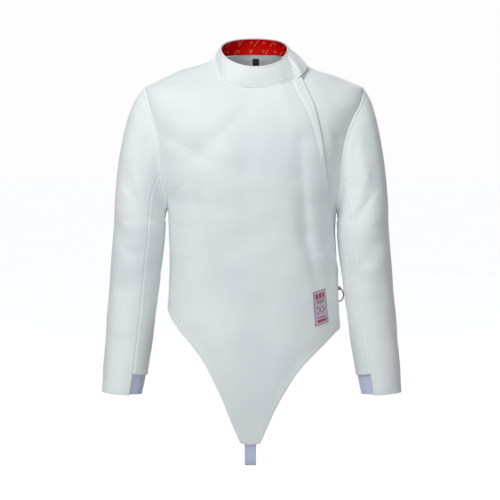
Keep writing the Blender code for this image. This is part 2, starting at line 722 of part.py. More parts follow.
def sleeve_point(side, angle, down):
    """A point of the sleeve: down is 0 at the armhole and 1 at the cuff."""
    outward = -1.0 if side == "right" else 1.0
    if down >= CAP_SHARE:
        share = (down - CAP_SHARE) / (1 - CAP_SHARE)
        height = FIRST_SECTION + share * (LAST_SECTION - FIRST_SECTION)
        point, _ = sleeve_section(side, angle, height)
    else:
        seam, _ = armhole_place(side, angle)
        end, axis = sleeve_section(side, angle, FIRST_SECTION)
        s = down / CAP_SHARE
        length = np.linalg.norm(end - seam)
        top, under = CAP_DROOP[side], UNDERARM_DROOP
        droop = math.radians((top + under) / 2 + (top - under) / 2 * math.cos(angle))
        leave = np.array([outward * math.cos(droop), -CAP_SPREAD * math.sin(angle), -math.sin(droop)])
        start_pull = leave * length * CAP_PULL[side]
        end_pull = axis * length
        point = (
            (1 + 2 * s) * (1 - s) ** 2 * seam + s * (1 - s) ** 2 * start_pull
            + s * s * (3 - 2 * s) * end + s * s * (s - 1) * end_pull
        )
        height = FIRST_SECTION
    centre = np.array([sleeve_column[side + "_x"](height), sleeve_column[side + "_y"](height), point[2]])
    away = point - centre
    away /= np.linalg.norm(away)
    return point + away * sleeve_fold(angle, down) * smoothstep(down * 5)


def sleeve_normal(side, angle, down):
    turn, step = 0.03, 0.01
    low, high = max(down - step, 0.0), min(down + step, 1.0)
    around = sleeve_point(side, angle + turn, down) - sleeve_point(side, angle - turn, down)
    along = sleeve_point(side, angle, high) - sleeve_point(side, angle, low)
    normal = np.cross(around, along)
    normal /= np.linalg.norm(normal)
    return normal if side == "left" else -normal


def sleeve_piece(name, side, start, end, steps, last_down, material):
    """One piece of a sleeve between two seams, from the armhole down."""
    along = SLEEVE_STEPS[2]
    downs = np.linspace(0, 1, along + 1) * last_down
    places = np.zeros((along + 1, steps + 1, 3))
    normals = np.zeros_like(places)
    for i, down in enumerate(downs):
        for j, angle in enumerate(np.radians(np.linspace(start, end, steps + 1))):
            places[i, j] = sleeve_point(side, angle, down)
            normals[i, j] = sleeve_normal(side, angle, down)
            if i == 0:
                normals[i, j] = armhole_place(side, angle)[1]
    inwards = armhole_middle(side) - places[0]
    inwards -= normals[0] * np.sum(inwards * normals[0], axis=-1, keepdims=True)
    places[0] += inwards / np.linalg.norm(inwards, axis=-1, keepdims=True) * ARMHOLE_ROOM
    return wall_object(name, *wall_of(places, normals, WALL, SEAM_GAP / 2), material)


def elastic_down():
    """Where the under sleeve's hem lies, as a share of the sleeve."""
    share = 1 - CUFF_ELASTIC / (FIRST_SECTION - LAST_SECTION)
    return CAP_SHARE + (1 - CAP_SHARE) * share


def cuff_elastic(side, material):
    top = elastic_down() - CUFF_TUCK / (FIRST_SECTION - LAST_SECTION) * (1 - CAP_SHARE)
    downs = np.linspace(top, 0.998, 6)
    angles = np.radians(np.linspace(SLEEVE_SEAM - 3, 360 - SLEEVE_SEAM + 3, 11))
    places = np.zeros((len(downs), len(angles), 3))
    normals = np.zeros_like(places)
    for i, down in enumerate(downs):
        for j, angle in enumerate(angles):
            normals[i, j] = sleeve_normal(side, angle, down)
            places[i, j] = sleeve_point(side, angle, down) - normals[i, j] * CUFF_INSET
    return wall_object("cuff_elastic_" + side, places, places - normals * THIN_WALL, material)


def sleeve(side, shell, elastic):
    upper, under, _ = SLEEVE_STEPS
    sleeve_piece("upper_sleeve_" + side, side, -SLEEVE_SEAM, SLEEVE_SEAM, upper, 1.0, shell)
    sleeve_piece("under_sleeve_" + side, side, SLEEVE_SEAM, 360 - SLEEVE_SEAM, under, elastic_down(), shell)
    cuff_elastic(side, elastic)


def inside_spot(x, height, face):
    """A place just inside the front (face 1) or the back (face -1) of the body."""
    angle = face * front_angle(x, height)
    spot = body_point(angle, height) - body_normal(angle, height) * (WALL + STRAP_LIFT[face])
    return np.array([x, spot[1], height])


def strap(material):
    """Elastic strap that passes between the legs."""
    path = [inside_spot(STRAP_MIDDLE, height, 1) for height in STRAP_IN_TAIL]
    path += [np.array([STRAP_MIDDLE, y, z]) for y, z in STRAP_PATH]
    path += [inside_spot(STRAP_MIDDLE, height, -1) for height in STRAP_IN_BACK]
    line = space_line(path, STRAP_STEPS)
    along = np.gradient(line, axis=0)
    sideways = np.array([1.0, 0.0, 0.0])
    normals = np.cross(np.broadcast_to(sideways, along.shape), along)
    normals /= np.linalg.norm(normals, axis=-1, keepdims=True)
    half = sideways * STRAP_WIDTH / 2
    outer = np.stack([line - half, line + half], axis=1)
    both = np.stack([normals, normals], axis=1)
    return wall_object("crotch_strap", outer, outer + both * THIN_WALL, material)


def hip_label(material):
    """The patch sewn to the front by the closure. Its points are the front's, moved out."""
    corners = np.array(front_line(HIP_LABEL))
    columns, rows = 4, 6
    grid = np.zeros((rows + 1, columns + 1, 2))
    for i in range(rows + 1):
        for j in range(columns + 1):
            u, v = j / columns, i / rows
            top = corners[0] * (1 - u) + corners[1] * u
            bottom = corners[3] * (1 - u) + corners[2] * u
            grid[i, j] = top * (1 - v) + bottom * v
    lift = LABEL_LIFT + LABEL_WALL
    return panel("hip_label", grid, material,
                 lambda angle, height: overlap_raise(angle, height) + lift, LABEL_WALL, 0.0)


def neck_tag(name, width, drop, top_height, lift, material):
    """A label that hangs from the neck seam inside the back."""
    columns, rows = 2, 3
    places = np.zeros((rows + 1, columns + 1, 3))
    normals = np.zeros_like(places)
    for i in range(rows + 1):
        for j in range(columns + 1):
            x = NECK_LABEL_X + width * (j / columns - 0.5)
            height = top_height - drop * i / rows
            angle = -front_angle(x, height)
            normals[i, j] = body_normal(angle, height)
            places[i, j] = body_point(angle, height) - normals[i, j] * (WALL + lift)
    return wall_object(name, places, places - normals * LABEL_WALL, material)


def zip_angle(height):
    return flap_edge_angle(height) - math.radians(ZIP_BEHIND_EDGE)


def zip_tape(material):
    """The end of the zip, which comes out from under the flap at the side."""
    rows = 9
    grid = np.zeros((rows + 1, 3, 2))
    half = math.radians(ZIP_TAPE_ANGLE) / 2
    for i in range(rows + 1):
        height = ZIP_TAPE_TOP + (ZIP_TAPE_BOTTOM - ZIP_TAPE_TOP) * i / rows
        for j in range(3):
            grid[i, j] = (zip_angle(height) - half + half * j, height)
    lift = SEAM_GAP + THIN_WALL
    return panel("zip_tape", grid, material, lambda angle, height: lift, THIN_WALL, 0.0)


def slider_frame():
    """Where the slider sits: its place on the tape, and the directions along the cloth and out from it."""
    angle = zip_angle(SLIDER_HEIGHT)
    normal = body_normal(angle, SLIDER_HEIGHT)
    out = Vector((normal[0], normal[1], 0.0)).normalized()
    seat = body_point(angle, SLIDER_HEIGHT) + normal * (2 * SEAM_GAP + THIN_WALL)
    return Vector(seat), out


def ring_centre():
    """The middle of the ring, straight below the hole that it hangs in."""
    seat, out = slider_frame()
    hole = seat + out * (SLIDER_SIZE[1] + LUG_REACH / 2) + Vector((0, 0, -SLIDER_SIZE[2] / 4))
    return hole, hole - Vector((0, 0, RING_RADIUS))


def block(size, centre, turn):
    """A box as a mesh in world space, turned about the vertical."""
    shaped = bmesh.new()
    bmesh.ops.create_cube(shaped, size=1.0)
    place = Matrix.Translation(centre * MM) @ Matrix.Rotation(turn, 4, "Z") @ Matrix.Diagonal(
        Vector((size[0], size[1], size[2], 1000.0)) * MM)
    bmesh.ops.transform(shaped, matrix=place, verts=shaped.verts)
    return shaped


def slider(material):
    """The zip's slider, with the lug that the pull ring hangs in."""
    seat, out = slider_frame()
    ring_turn = -math.radians(RING_TURN)
    turn = math.atan2(out.y, out.x) - math.pi / 2
    hole, _ = ring_centre()
    depth = SLIDER_SIZE[1]
    body = block(SLIDER_SIZE, seat + out * depth / 2, turn)
    mesh = bpy.data.meshes.new("zip_slider")
    body.to_mesh(mesh)
    body.free()
    mesh.materials.append(material)
    thing = bpy.data.objects.new("zip_slider", mesh)
    bpy.context.scene.collection.objects.link(thing)

    lug_middle = seat + out * (depth + LUG_REACH / 2 - 0.6)
    lug = helper("lug", block((LUG_THICKNESS, LUG_REACH + 1.4, LUG_RISE),
                              Vector((lug_middle.x, lug_middle.y, hole.z)), turn))
    bore = bmesh.new()
    bmesh.ops.create_cone(bore, cap_ends=True, segments=16, radius1=LUG_HOLE / 2 * MM,
                          radius2=LUG_HOLE / 2 * MM, depth=30 * MM)
    lay = Matrix.Translation(hole * MM) @ Matrix.Rotation(ring_turn, 4, "Z") @ Matrix.Rotation(
        math.pi / 2, 4, "Y")
    bmesh.ops.transform(bore, matrix=lay, verts=bore.verts)
    cutter = helper("lug_bore", bore)
    for other, operation in ((lug, "UNION"), (cutter, "DIFFERENCE")):
        modifier = thing.modifiers.new(other.name, "BOOLEAN")
        modifier.operation = operation
        modifier.object = other
    return thing


def helper(name, shaped):
    mesh = bpy.data.meshes.new(name)
    shaped.to_mesh(mesh)
    shaped.free()
    thing = bpy.data.objects.new(name, mesh)
    bpy.context.scene.collection.objects.link(thing)
    thing.hide_render = True
    thing.display_type = "WIRE"
    return thing


def pull_ring(material):
    """The ring that the fencer pulls the zip with. Its origin is on the axis it swings about."""
    hole, centre = ring_centre()
    shaped = bmesh.new()
    circle = bmesh.ops.create_circle(shaped, segments=10, radius=RING_WIRE * MM,
                                     matrix=Matrix.Translation((RING_RADIUS * MM, 0, 0))
                                     @ Matrix.Rotation(math.pi / 2, 4, "X"))
    edges = list({edge for vertex in circle["verts"] for edge in vertex.link_edges})
    bmesh.ops.spin(shaped, geom=circle["verts"] + edges, axis=(0, 0, 1), cent=(0, 0, 0),
                   steps=32, angle=2 * math.pi, use_merge=True)
    bmesh.ops.remove_doubles(shaped, verts=shaped.verts, dist=1e-6)
    stand = Matrix.Rotation(-math.radians(RING_TURN), 4, "Z") @ Matrix.Rotation(math.pi / 2, 4, "X")
    bmesh.ops.transform(shaped, matrix=Matrix.Translation((centre - hole) * MM) @ stand, verts=shaped.verts)
    bmesh.ops.recalc_face_normals(shaped, faces=shaped.faces)
    mesh = bpy.data.meshes.new("pull_ring")
    shaped.to_mesh(mesh)
    shaped.free()
    mesh.shade_smooth()
    mesh.materials.append(material)
    thing = bpy.data.objects.new("pull_ring", mesh)
    thing.location = hole * MM
    bpy.context.scene.collection.objects.link(thing)
    return thing


flap_line_table = flap_line()


def main():
    clear_scene()
    shell = material_of("white_cotton_shell", COLOURS["shell"], 0.75)
    lining = material_of("red_collar_lining", COLOURS["lining"], 0.6)
    elastic = material_of("grey_elastic", COLOURS["elastic"], 0.8)
    label = material_of("woven_label", COLOURS["label"], 0.7)
    tab = material_of("black_size_tab", COLOURS["tab"], 0.7)
    metal = material_of("dark_nickel", COLOURS["metal"], 0.35, 1.0)
    tape = material_of("zip_tape_white", COLOURS["tape"], 0.7)
    front_panel(shell)
    under_panel(shell)
    back_panel(shell)
    collar(shell)
    collar_lining(lining)
    for side in ("right", "left"):
        sleeve(side, shell, elastic)
    strap(elastic)
    hip_label(label)
    neck_tag("neck_label", *NECK_LABEL_SIZE, NECK_LABEL_TOP, LABEL_LIFT, label)
    neck_tag("size_tab", *SIZE_TAB_SIZE, NECK_LABEL_TOP + 1, LABEL_LIFT + SEAM_GAP + LABEL_WALL, tab)
    zip_tape(tape)
    slider(metal)
    pull_ring(metal)


main()
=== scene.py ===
"""Looks of the fencing jacket, laid out as an add-on and run as a script.

Tables are in millimetres and MM turns them to metres when a mesh is made. +Z is up, the wearer faces -Y, and +X is
the wearer's left. Each cloth piece is a thin shell on the form of its CAD solid, with the creases, hems and sewing
that the solid leaves out.
"""

import math

import bmesh
import bpy
import numpy as np
from mathutils import Matrix, Vector
from mathutils.kdtree import KDTree


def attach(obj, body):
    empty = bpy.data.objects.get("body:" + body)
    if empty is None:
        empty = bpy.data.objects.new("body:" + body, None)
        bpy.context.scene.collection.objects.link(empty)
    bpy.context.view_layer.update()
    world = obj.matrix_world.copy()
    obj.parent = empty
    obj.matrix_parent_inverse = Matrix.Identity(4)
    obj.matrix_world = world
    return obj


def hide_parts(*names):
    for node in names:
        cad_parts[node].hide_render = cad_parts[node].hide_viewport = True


bl_info = {
    "name": "Fencing jacket",
    "version": (1, 0, 0),
    "blender": (4, 5, 0),
    "location": "3D View > Sidebar > Jacket",
    "description": "Builds a fencing jacket's cloth, hems, sewing, labels and zip end over its CAD model",
    "category": "Add Mesh",
}

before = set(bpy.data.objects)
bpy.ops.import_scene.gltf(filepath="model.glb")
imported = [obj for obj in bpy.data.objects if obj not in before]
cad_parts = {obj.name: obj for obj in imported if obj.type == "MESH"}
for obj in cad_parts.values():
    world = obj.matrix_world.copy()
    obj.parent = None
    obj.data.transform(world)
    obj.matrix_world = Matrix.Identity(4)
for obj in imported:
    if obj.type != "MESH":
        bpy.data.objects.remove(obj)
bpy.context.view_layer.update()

MM = 0.001
BODY = "jacket"
WALL = 2.0
THIN_WALL = 1.2
LABEL_WALL = 0.7
SEAM_GAP = 0.3
OVERLAP_RAISE = 3.2
OVERLAP_WIDTH = 46.0
HIDDEN_WIDTH = 38.0
UNDER_TUCK = 1.0
TUCK_WIDTH = 25.0
SECTION_POWER = 2.4

TORSO_COLUMNS = ("height", "right_half", "left_half", "front", "back", "side")
TORSO = (
    (40, 52, 54, 1.5, 56, 8),
    (26, 74, 74, 4, 64, 7),
    (19, 82, 84, 8, 69, 6),
    (6, 109, 104, 19, 78, 6),
    (-6, 151, 127, 30, 86, 6),
    (-18, 177, 165, 41, 92, 5),
    (-31, 204, 199, 53, 97, 5),
    (-45, 229, 228, 67, 101, 4),
    (-70, 228, 228, 87, 107, 3),
    (-100, 223, 219, 102, 112, 2),
    (-140, 214, 206, 113, 116, 0),
    (-185, 205, 196, 120, 117, 0),
    (-235, 195, 186, 121, 112, 0),
    (-290, 181, 171.5, 117, 104, 0),
    (-345, 179, 168.8, 112, 97, 0),
    (-400, 177.5, 171.7, 109, 94, 0),
    (-450, 179, 172.3, 107, 97, 0),
    (-504, 182, 174.5, 106, 103, 0),
    (-544, 184, 176, 106, 107, 0),
    (-600, 180, 176, 104, 107, 0),
    (-680, 168, 168, 98, 104, 0),
    (-740, 154, 154, 89, 100, 0),
    (-800, 140, 140, 76, 96, 0),
)
FOLD_COLUMNS = ("side", "x0", "z0", "x1", "z1", "half_width", "depth")
FOLDS = (
    ("front", 90, -165, 106, -345, 17, -4.5),
    ("front", 106, -345, 136, -465, 15, -3.5),
    ("front", -190, -135, -112, -178, 20, -3.0),
    ("front", -112, -178, -20, -95, 24, -3.0),
    ("front", -116, -190, -118, -280, 20, -2.6),
    ("front", -112, -300, -74, -480, 24, -2.4),
    ("front", -12, -150, -6, -345, 34, -2.6),
    ("front", 30, -420, 10, -600, 30, -2.0),
    ("front", 172, -150, 166, -250, 12, -3.0),
    ("back", -95, -120, -70, -300, 26, -3.2),
    ("back", 96, -130, 74, -320, 24, -3.4),
    ("back", 4, -180, 0, -420, 30, -3.0),
    ("back", -150, -330, -60, -450, 22, -2.6),
    ("back", 145, -350, 70, -460, 20, -2.4),
)
# Creases that the solids leave out: each runs through three points, and lean puts a low ridge beside the trough.
CREASE_COLUMNS = ("part", "a0", "b0", "a1", "b1", "a2", "b2", "half_width", "depth", "lean")
CREASES = (
    ("front", -196, -136, -151, -164, -104, -181, 9, -1.3, 1),
    ("front", -112, -181, -62, -132, -14, -92, 11, -1.1, -1),
    ("front", -110, -176, -120, -273, -96, -372, 11, -1.3, 1),
    ("front", -92, -360, -84, -430, -66, -500, 13, -0.9, -1),
    ("front", 88, -160, 101, -270, 108, -350, 8, -1.7, 1),
    ("front", 104, -330, 118, -410, 138, -468, 8, -1.4, 1),
    ("front", -14, -130, -20, -233, -12, -345, 14, -1.0, 1),
    ("front", 34, -190, 26, -300, 44, -420, 16, -0.8, -1),
    ("front", -178, -262, -150, -246, -124, -214, 7, -1.2, 1),
    ("front", -176, -318, -150, -330, -118, -334, 6, -0.7, 1),
    ("front", -172, -392, -146, -398, -120, -390, 7, -0.6, -1),
    ("front", 150, -392, 128, -384, 100, -388, 6, -0.7, 1),
    ("front", -154, -528, -96, -586, -50, -684, 13, -1.0, 1),
    ("front", 128, -566, 70, -632, 22, -722, 12, -1.0, -1),
    ("front", -24, -560, -16, -640, -6, -728, 14, -0.8, 1),
    ("front", -70, -58, -96, -92, -140, -118, 12, -0.9, -1),
    ("front", 20, -60, 44, -84, 82, -104, 10, -0.6, 1),
    ("front", 128, -60, 156, -72, 196, -80, 10, -0.8, 1),
    ("front", 150, -130, 176, -160, 190, -210, 8, -1.3, -1),
    ("back", -196, -132, -150, -168, -104, -186, 10, -1.4, 1),
    ("back", 192, -138, 148, -170, 108, -196, 10, -1.4, 1),
    ("back", -98, -118, -84, -216, -66, -318, 12, -1.4, -1),
    ("back", 98, -126, 86, -220, 72, -330, 12, -1.2, 1),
    ("back", 6, -70, -4, -220, 4, -424, 15, -1.2, 1),
    ("back", -156, -326, -110, -382, -52, -456, 9, -1.6, 1),
    ("back", 150, -346, 108, -400, 60, -464, 9, -1.4, -1),
    ("back", -170, -280, -120, -300, -60, -296, 8, -1.0, 1),
    ("back", 168, -296, 122, -316, 66, -306, 8, -0.9, 1),
    ("back", -60, 6, -100, -30, -150, -52, 12, -0.9, -1),
    ("back", 60, 8, 104, -28, 150, -48, 12, -0.8, 1),
    ("back", -120, -440, -60, -486, 10, -500, 10, -1.0, 1),
)
# On the sleeves the first number is degrees round the arm from its outside, about 1 mm each, and the second is mm
# down from the armhole.
SLEEVE_CREASES = (
    ("right", 62, 30, 84, 90, 96, 168, 10, -1.5, 1),
    ("right", 34, 196, 74, 214, 112, 226, 8, -1.6, 1),
    ("right", 20, 262, 60, 280, 118, 278, 9, -1.5, 1),
    ("right", 46, 330, 84, 348, 122, 336, 8, -1.2, -1),
    ("right", 30, 410, 66, 426, 104, 424, 10, -1.0, 1),
    ("right", 12, 500, 52, 520, 92, 512, 9, -0.9, -1),
    ("right", -20, 150, -50, 206, -96, 236, 11, -1.2, 1),
    ("right", -36, 300, -74, 322, -110, 312, 9, -1.3, 1),
    ("right", 128, 160, 160, 190, 206, 196, 9, -1.5, 1),
    ("right", 136, 262, 172, 282, 224, 270, 9, -1.4, -1),
    ("right", 130, 372, 166, 380, 220, 390, 9, -1.0, 1),
    ("left", 66, 34, 86, 100, 98, 176, 11, -2.2, 1),
    ("left", 96, 60, 104, 130, 110, 210, 9, -1.8, -1),
    ("left", 40, 206, 76, 220, 112, 240, 8, -1.5, 1),
    ("left", 24, 282, 64, 296, 116, 290, 9, -1.6, 1),
    ("left", 52, 352, 90, 366, 124, 360, 8, -1.2, 1),
    ("left", 36, 436, 70, 446, 108, 440, 10, -1.1, -1),
    ("left", 18, 520, 54, 528, 96, 534, 9, -0.8, 1),
    ("left", -24, 160, -54, 214, -98, 240, 11, -1.2, 1),
    ("left", -40, 322, -78, 340, -112, 326, 9, -1.2, 1),
    ("left", 128, 170, 166, 204, 210, 204, 9, -1.6, 1),
    ("left", 138, 280, 170, 296, 222, 288, 9, -1.3, 1),
    ("left", 132, 388, 168, 396, 218, 400, 9, -0.9, -1),
)

RIGHT_TIP, LEFT_TIP = -42.0, -47.0
RIGHT_UNDERARM, LEFT_UNDERARM = -298.0, -303.0
RIGHT_RIDGE, LEFT_RIDGE = 19.0, 17.0
ARMHOLE_ANGLE = {"right_front": 0.40, "left_front": 0.47, "right_back": 0.38, "left_back": 0.40}
ARMHOLE_SKEW = 0.10
NECK_FRONT = ((-77, 4), (-72, -14), (-66, -31), (-56, -39), (-40, -43), (-20, -45), (2, -45.6), (25, -45),
              (45, -42), (60, -38), (71, -33), (83, -28), (94, -22.5))
NECK_UNDER = ((56, -39), (64, -35), (69, -27), (74, -12), (79, 4))
NECK_BACK = ((-66, 24), (-34, 27), (0, 27.5), (34, 27), (68, 23))
FLAP_EDGE = ((94, -22.5), (106, -50), (118, -80), (129.5, -125), (140, -187), (148.5, -249), (156, -315),
             (166, -397))
FLAP_EDGE_SIDE = ((3.0, -436), (9.0, -478), (12.5, -515), (14.0, -541))
PLACKET = ((77, -36), (87, -56), (106, -92), (120, -130), (131, -173))
LEG_RIGHT = ((-177, -514), (-165, -530), (-152, -547), (-137, -563), (-106, -603.5), (-80, -653.5),
             (-63.5, -691), (-49, -729), (-34.5, -765))
TAIL_TIP = ((-29.5, -776), (-9.5, -780), (11.5, -776))
LEG_LEFT = ((16.5, -764.5), (33, -725), (45.5, -697.5), (59.5, -671.5), (82.5, -634.5), (107, -605.5),
            (138, -576.5), (159.5, -557.5), (172, -547.5))
RIGHT_HEM, LEFT_HEM = -504.0, -541.0
LEFT_SIDE_SEAM = ((34.0, -544), (27.2, -420), (11.9, -340))
HIDDEN_BOTTOM, HIDDEN_TOP = -535.0, -53.0
BACK_HEM = ((-150, -513), (-80, -524), (0, -530), (80, -534), (140, -540))

RIM_HALF_WIDTH, RIM_HALF_DEPTH = 71.5, 64.0
RIM_MIDDLE = (1.5, 1.0, 30.8)
RIM_TILT, RIM_SADDLE = 33.2, 8.0
TAB_BOTTOM = ((109, -20, 2), (103, -33, -11), (94, -46, -20))
TAB_TOP = ((80.5, 1, 32), (76.5, 1, 34.5))
HIDDEN_END_INSET = 4.2
COLLAR_SPRING = 2.6
LINING_STAND = 1.6
COLLAR_LIFT = 0.7
COLLAR_COLUMNS = 46
CREASE_SHARE = 0.62  # share of the tables' depths, since the cloth is stiff and well filled
LINING_START, LINING_END = 14, 4
TAB_LENGTH = 36.0

SLEEVE_COLUMNS = ("height", "right_x", "left_x", "half_width", "right_y", "left_y", "half_depth")
SLEEVE = (
    (-325, -239, 224.6, 54.3, -14, -26, 64),
    (-383, -244, 229, 53.8, -16, -24, 62),
    (-430, -248.5, 234.5, 52.5, -18, -23, 59),
    (-472, -253, 239, 51.5, -20, -23, 56),
    (-525, -258, 245, 50.5, -24, -26, 53),
    (-574, -263, 250.5, 49.0, -28, -29, 50),
    (-607, -266.5, 254.5, 48.0, -31, -32, 48),
    (-637, -270, 258, 46.5, -34, -35, 46),
    (-678, -276, 263.5, 43.5, -38, -39, 43),
)
FIRST_SECTION, LAST_SECTION = SLEEVE[0][0], SLEEVE[-1][0]
CAP_SHARE = 0.46
CAP_PULL = {"right": 0.66, "left": 0.50}
CAP_DROOP = {"right": 40.0, "left": 46.0}
UNDERARM_DROOP = -5.0
CAP_SPREAD = 0.25
ARMHOLE_ROOM = 0.3
SLEEVE_SEAM = 114.0
SLEEVE_LENGTH = 630.0
CUFF_ELASTIC = 43.0
CUFF_TUCK = 6.0
CUFF_INSET = 3.2
SLEEVE_FOLD_COLUMNS = ("angle0", "down0", "angle1", "down1", "half_angle", "half_down", "depth")
SLEEVE_FOLDS = (
    (60, 0.30, 110, 0.42, 22, 0.05, -3.0),
    (20, 0.46, 95, 0.56, 20, 0.04, -2.4),
    (70, 0.66, 130, 0.60, 22, 0.04, -2.6),
    (200, 0.34, 250, 0.44, 24, 0.05, -2.6),
    (250, 0.52, 310, 0.60, 24, 0.04, -2.4),
    (350, 0.20, 330, 0.34, 18, 0.06, -1.8),
)

STRAP_WIDTH = 25.0
STRAP_MIDDLE = -8.6
STRAP_LIFT = {1: 1.25, -1: 0.8}
STRAP_IN_TAIL = (-750, -762, -774)
STRAP_PATH = ((-77, -788), (-76.4, -800), (-75.4, -814), (-73, -822), (-69.5, -825), (-66, -821.5), (-58, -806),
              (-24, -742), (18, -666), (60, -592), (86, -551))
STRAP_IN_BACK = (-527, -517, -507)
HIP_LABEL = ((118, -463), (144.5, -456), (151.5, -526), (124, -533.5))
NECK_LABEL_SIZE = (26.0, 30.0)
SIZE_TAB_SIZE = (14.0, 13.0)
NECK_LABEL_X, NECK_LABEL_TOP = 3.0, 22.0
ZIP_BEHIND_EDGE = 3.2
ZIP_TAPE_ANGLE = 4.6
ZIP_TAPE_TOP, ZIP_TAPE_BOTTOM = -424.0, -534.0
SLIDER_HEIGHT = -462.0
SLIDER_SIZE = (8.0, 4.0, 12.0)
LUG_THICKNESS, LUG_REACH, LUG_RISE = 3.0, 7.0, 8.0
LUG_HOLE = 4.4
RING_RADIUS, RING_WIRE = 13.9, 1.3
RING_TURN = 50.0

# Hems as closed profiles: mm in from the edge, and mm out from the cloth's outer face. The dip is where the
# topstitching pulls the cloth in.
HEM_PROFILE = ((1.0, -2.75), (-0.3, -2.55), (-0.8, -1.6), (-0.8, -0.6), (-0.4, 0.3), (0.6, 0.62), (3.0, 0.72),
               (6.6, 0.66), (7.9, 0.45), (8.6, 0.06), (9.3, 0.06), (10.1, 0.42), (11.6, 0.34), (15.0, -0.25),
               (12.5, -1.8), (11.0, -2.6), (9.0, -2.75))
EDGE_PROFILE = ((1.0, -2.7), (-0.3, -2.5), (-0.8, -1.6), (-0.8, -0.6), (-0.4, 0.25), (0.5, 0.5), (2.2, 0.55),
                (3.8, 0.4), (4.6, 0.04), (5.2, 0.04), (6.0, 0.32), (7.2, 0.25), (10.0, -0.25), (8.0, -2.6))
NECK_PROFILE = ((0.3, -0.9), (0.3, 0.05), (1.1, 0.5), (3.0, 0.5), (4.0, 0.05), (4.7, 0.05), (5.6, 0.4), (8.5, -0.2),
                (8.0, -0.9))
HEM_STITCH, EDGE_STITCH, NECK_STITCH = 8.95, 4.9, 4.35
CUFF_STITCHES = (6.5, 14.5)


def linear(colour):
    """An sRGB hex colour as linear numbers with alpha."""
    parts = [int(colour[i:i + 2], 16) / 255 for i in (1, 3, 5)]
    return tuple(c / 12.92 if c <= 0.04045 else ((c + 0.055) / 1.055) ** 2.4 for c in parts) + (1.0,)


def smoothstep(value):
    value = np.clip(value, 0.0, 1.0)
    return value * value * (3 - 2 * value)


def unit(vectors):
    return vectors / np.maximum(np.linalg.norm(vectors, axis=-1, keepdims=True), 1e-9)


class Smooth:
    """A smooth curve y(x) through the points of a table, which never swings past them."""

    def __init__(self, xs, ys):
        order = np.argsort(xs)
        xs, ys = np.asarray(xs, float)[order], np.asarray(ys, float)[order]
        step = np.diff(xs)
        rise = np.diff(ys) / step
        slope = np.zeros_like(ys)
        slope[0], slope[-1] = rise[0], rise[-1]
        for i in range(1, len(xs) - 1):
            if rise[i - 1] * rise[i] > 0:
                before, after = 2 * step[i] + step[i - 1], step[i] + 2 * step[i - 1]
                slope[i] = (before + after) / (before / rise[i - 1] + after / rise[i])
        self.xs, self.ys, self.slope = xs, ys, slope

    def __call__(self, x):
        x = np.clip(x, self.xs[0], self.xs[-1])
        i = np.clip(np.searchsorted(self.xs, x, side="right") - 1, 0, len(self.xs) - 2)
        width = self.xs[i + 1] - self.xs[i]
        s = (x - self.xs[i]) / width
        return (
            (1 + 2 * s) * (1 - s) ** 2 * self.ys[i] + s * (1 - s) ** 2 * width * self.slope[i]
            + s * s * (3 - 2 * s) * self.ys[i + 1] + s * s * (s - 1) * width * self.slope[i + 1]
        )


def column(rows, columns, name):
    place = columns.index(name)
    return Smooth([row[0] for row in rows], [row[place] for row in rows])


torso = {name: column(TORSO, TORSO_COLUMNS, name) for name in TORSO_COLUMNS[1:]}
sleeve_column = {name: column(SLEEVE, SLEEVE_COLUMNS, name) for name in SLEEVE_COLUMNS[1:]}


def crease_height(rows, part, a, b):
    """Height of the creases of one part at places a and b of its own flat."""
    total = np.zeros(np.broadcast(a, b).shape)
    for values in rows:
        row = dict(zip(CREASE_COLUMNS, values))
        if row["part"] != part:
            continue
        t = np.linspace(0, 1, 15)
        line = [
            (1 - t) ** 2 * row[n + "0"] + 2 * t * (1 - t) * (2 * row[n + "1"] - (row[n + "0"] + row[n + "2"]) / 2)
            + t * t * row[n + "2"] for n in ("a", "b")
        ]
        reach = 3.2 * row["half_width"]
        near = ((a > line[0].min() - reach) & (a < line[0].max() + reach)
                & (b > line[1].min() - reach) & (b < line[1].max() + reach))
        if not near.any():
            continue
        spots = np.stack([a[near], b[near]], axis=-1)
        best, side, along = np.full(len(spots), 1e9), np.zeros(len(spots)), np.zeros(len(spots))
        for k in range(len(t) - 1):
            start = np.array([line[0][k], line[1][k]])
            step = np.array([line[0][k + 1], line[1][k + 1]]) - start
            share = np.clip((spots - start) @ step / (step @ step), 0, 1)
            miss = spots - start - share[:, None] * step
            far = np.linalg.norm(miss, axis=1)
            better = far < best
            best[better] = far[better]
            side[better] = np.sign(step[0] * miss[:, 1] - step[1] * miss[:, 0])[better]
            along[better] = (t[k] + share * (t[1] - t[0]))[better]
        width = row["half_width"]
        signed = best * side * row["lean"]
        taper = np.sin(np.pi * np.clip(along, 0, 1)) ** 1.2
        shape = np.exp(-(best / width) ** 2) - 0.5 * np.exp(-(((signed - 1.5 * width) / (1.1 * width)) ** 2))
        total[near] += CREASE_SHARE * row["depth"] * shape * taper
    return total


def ripple(a, b):
    """The slight unevenness of cloth that hangs: fixed waves of 40 to 110 mm."""
    waves = ((0.071, 0.031, 0.4, 0.22), (-0.038, 0.083, 1.9, 0.20), (0.112, -0.052, 2.7, 0.13),
             (0.027, 0.142, 4.1, 0.12), (0.15, 0.096, 5.2, 0.07))
    return sum(height * np.sin(a * across + b * up + phase) for across, up, phase, height in waves)


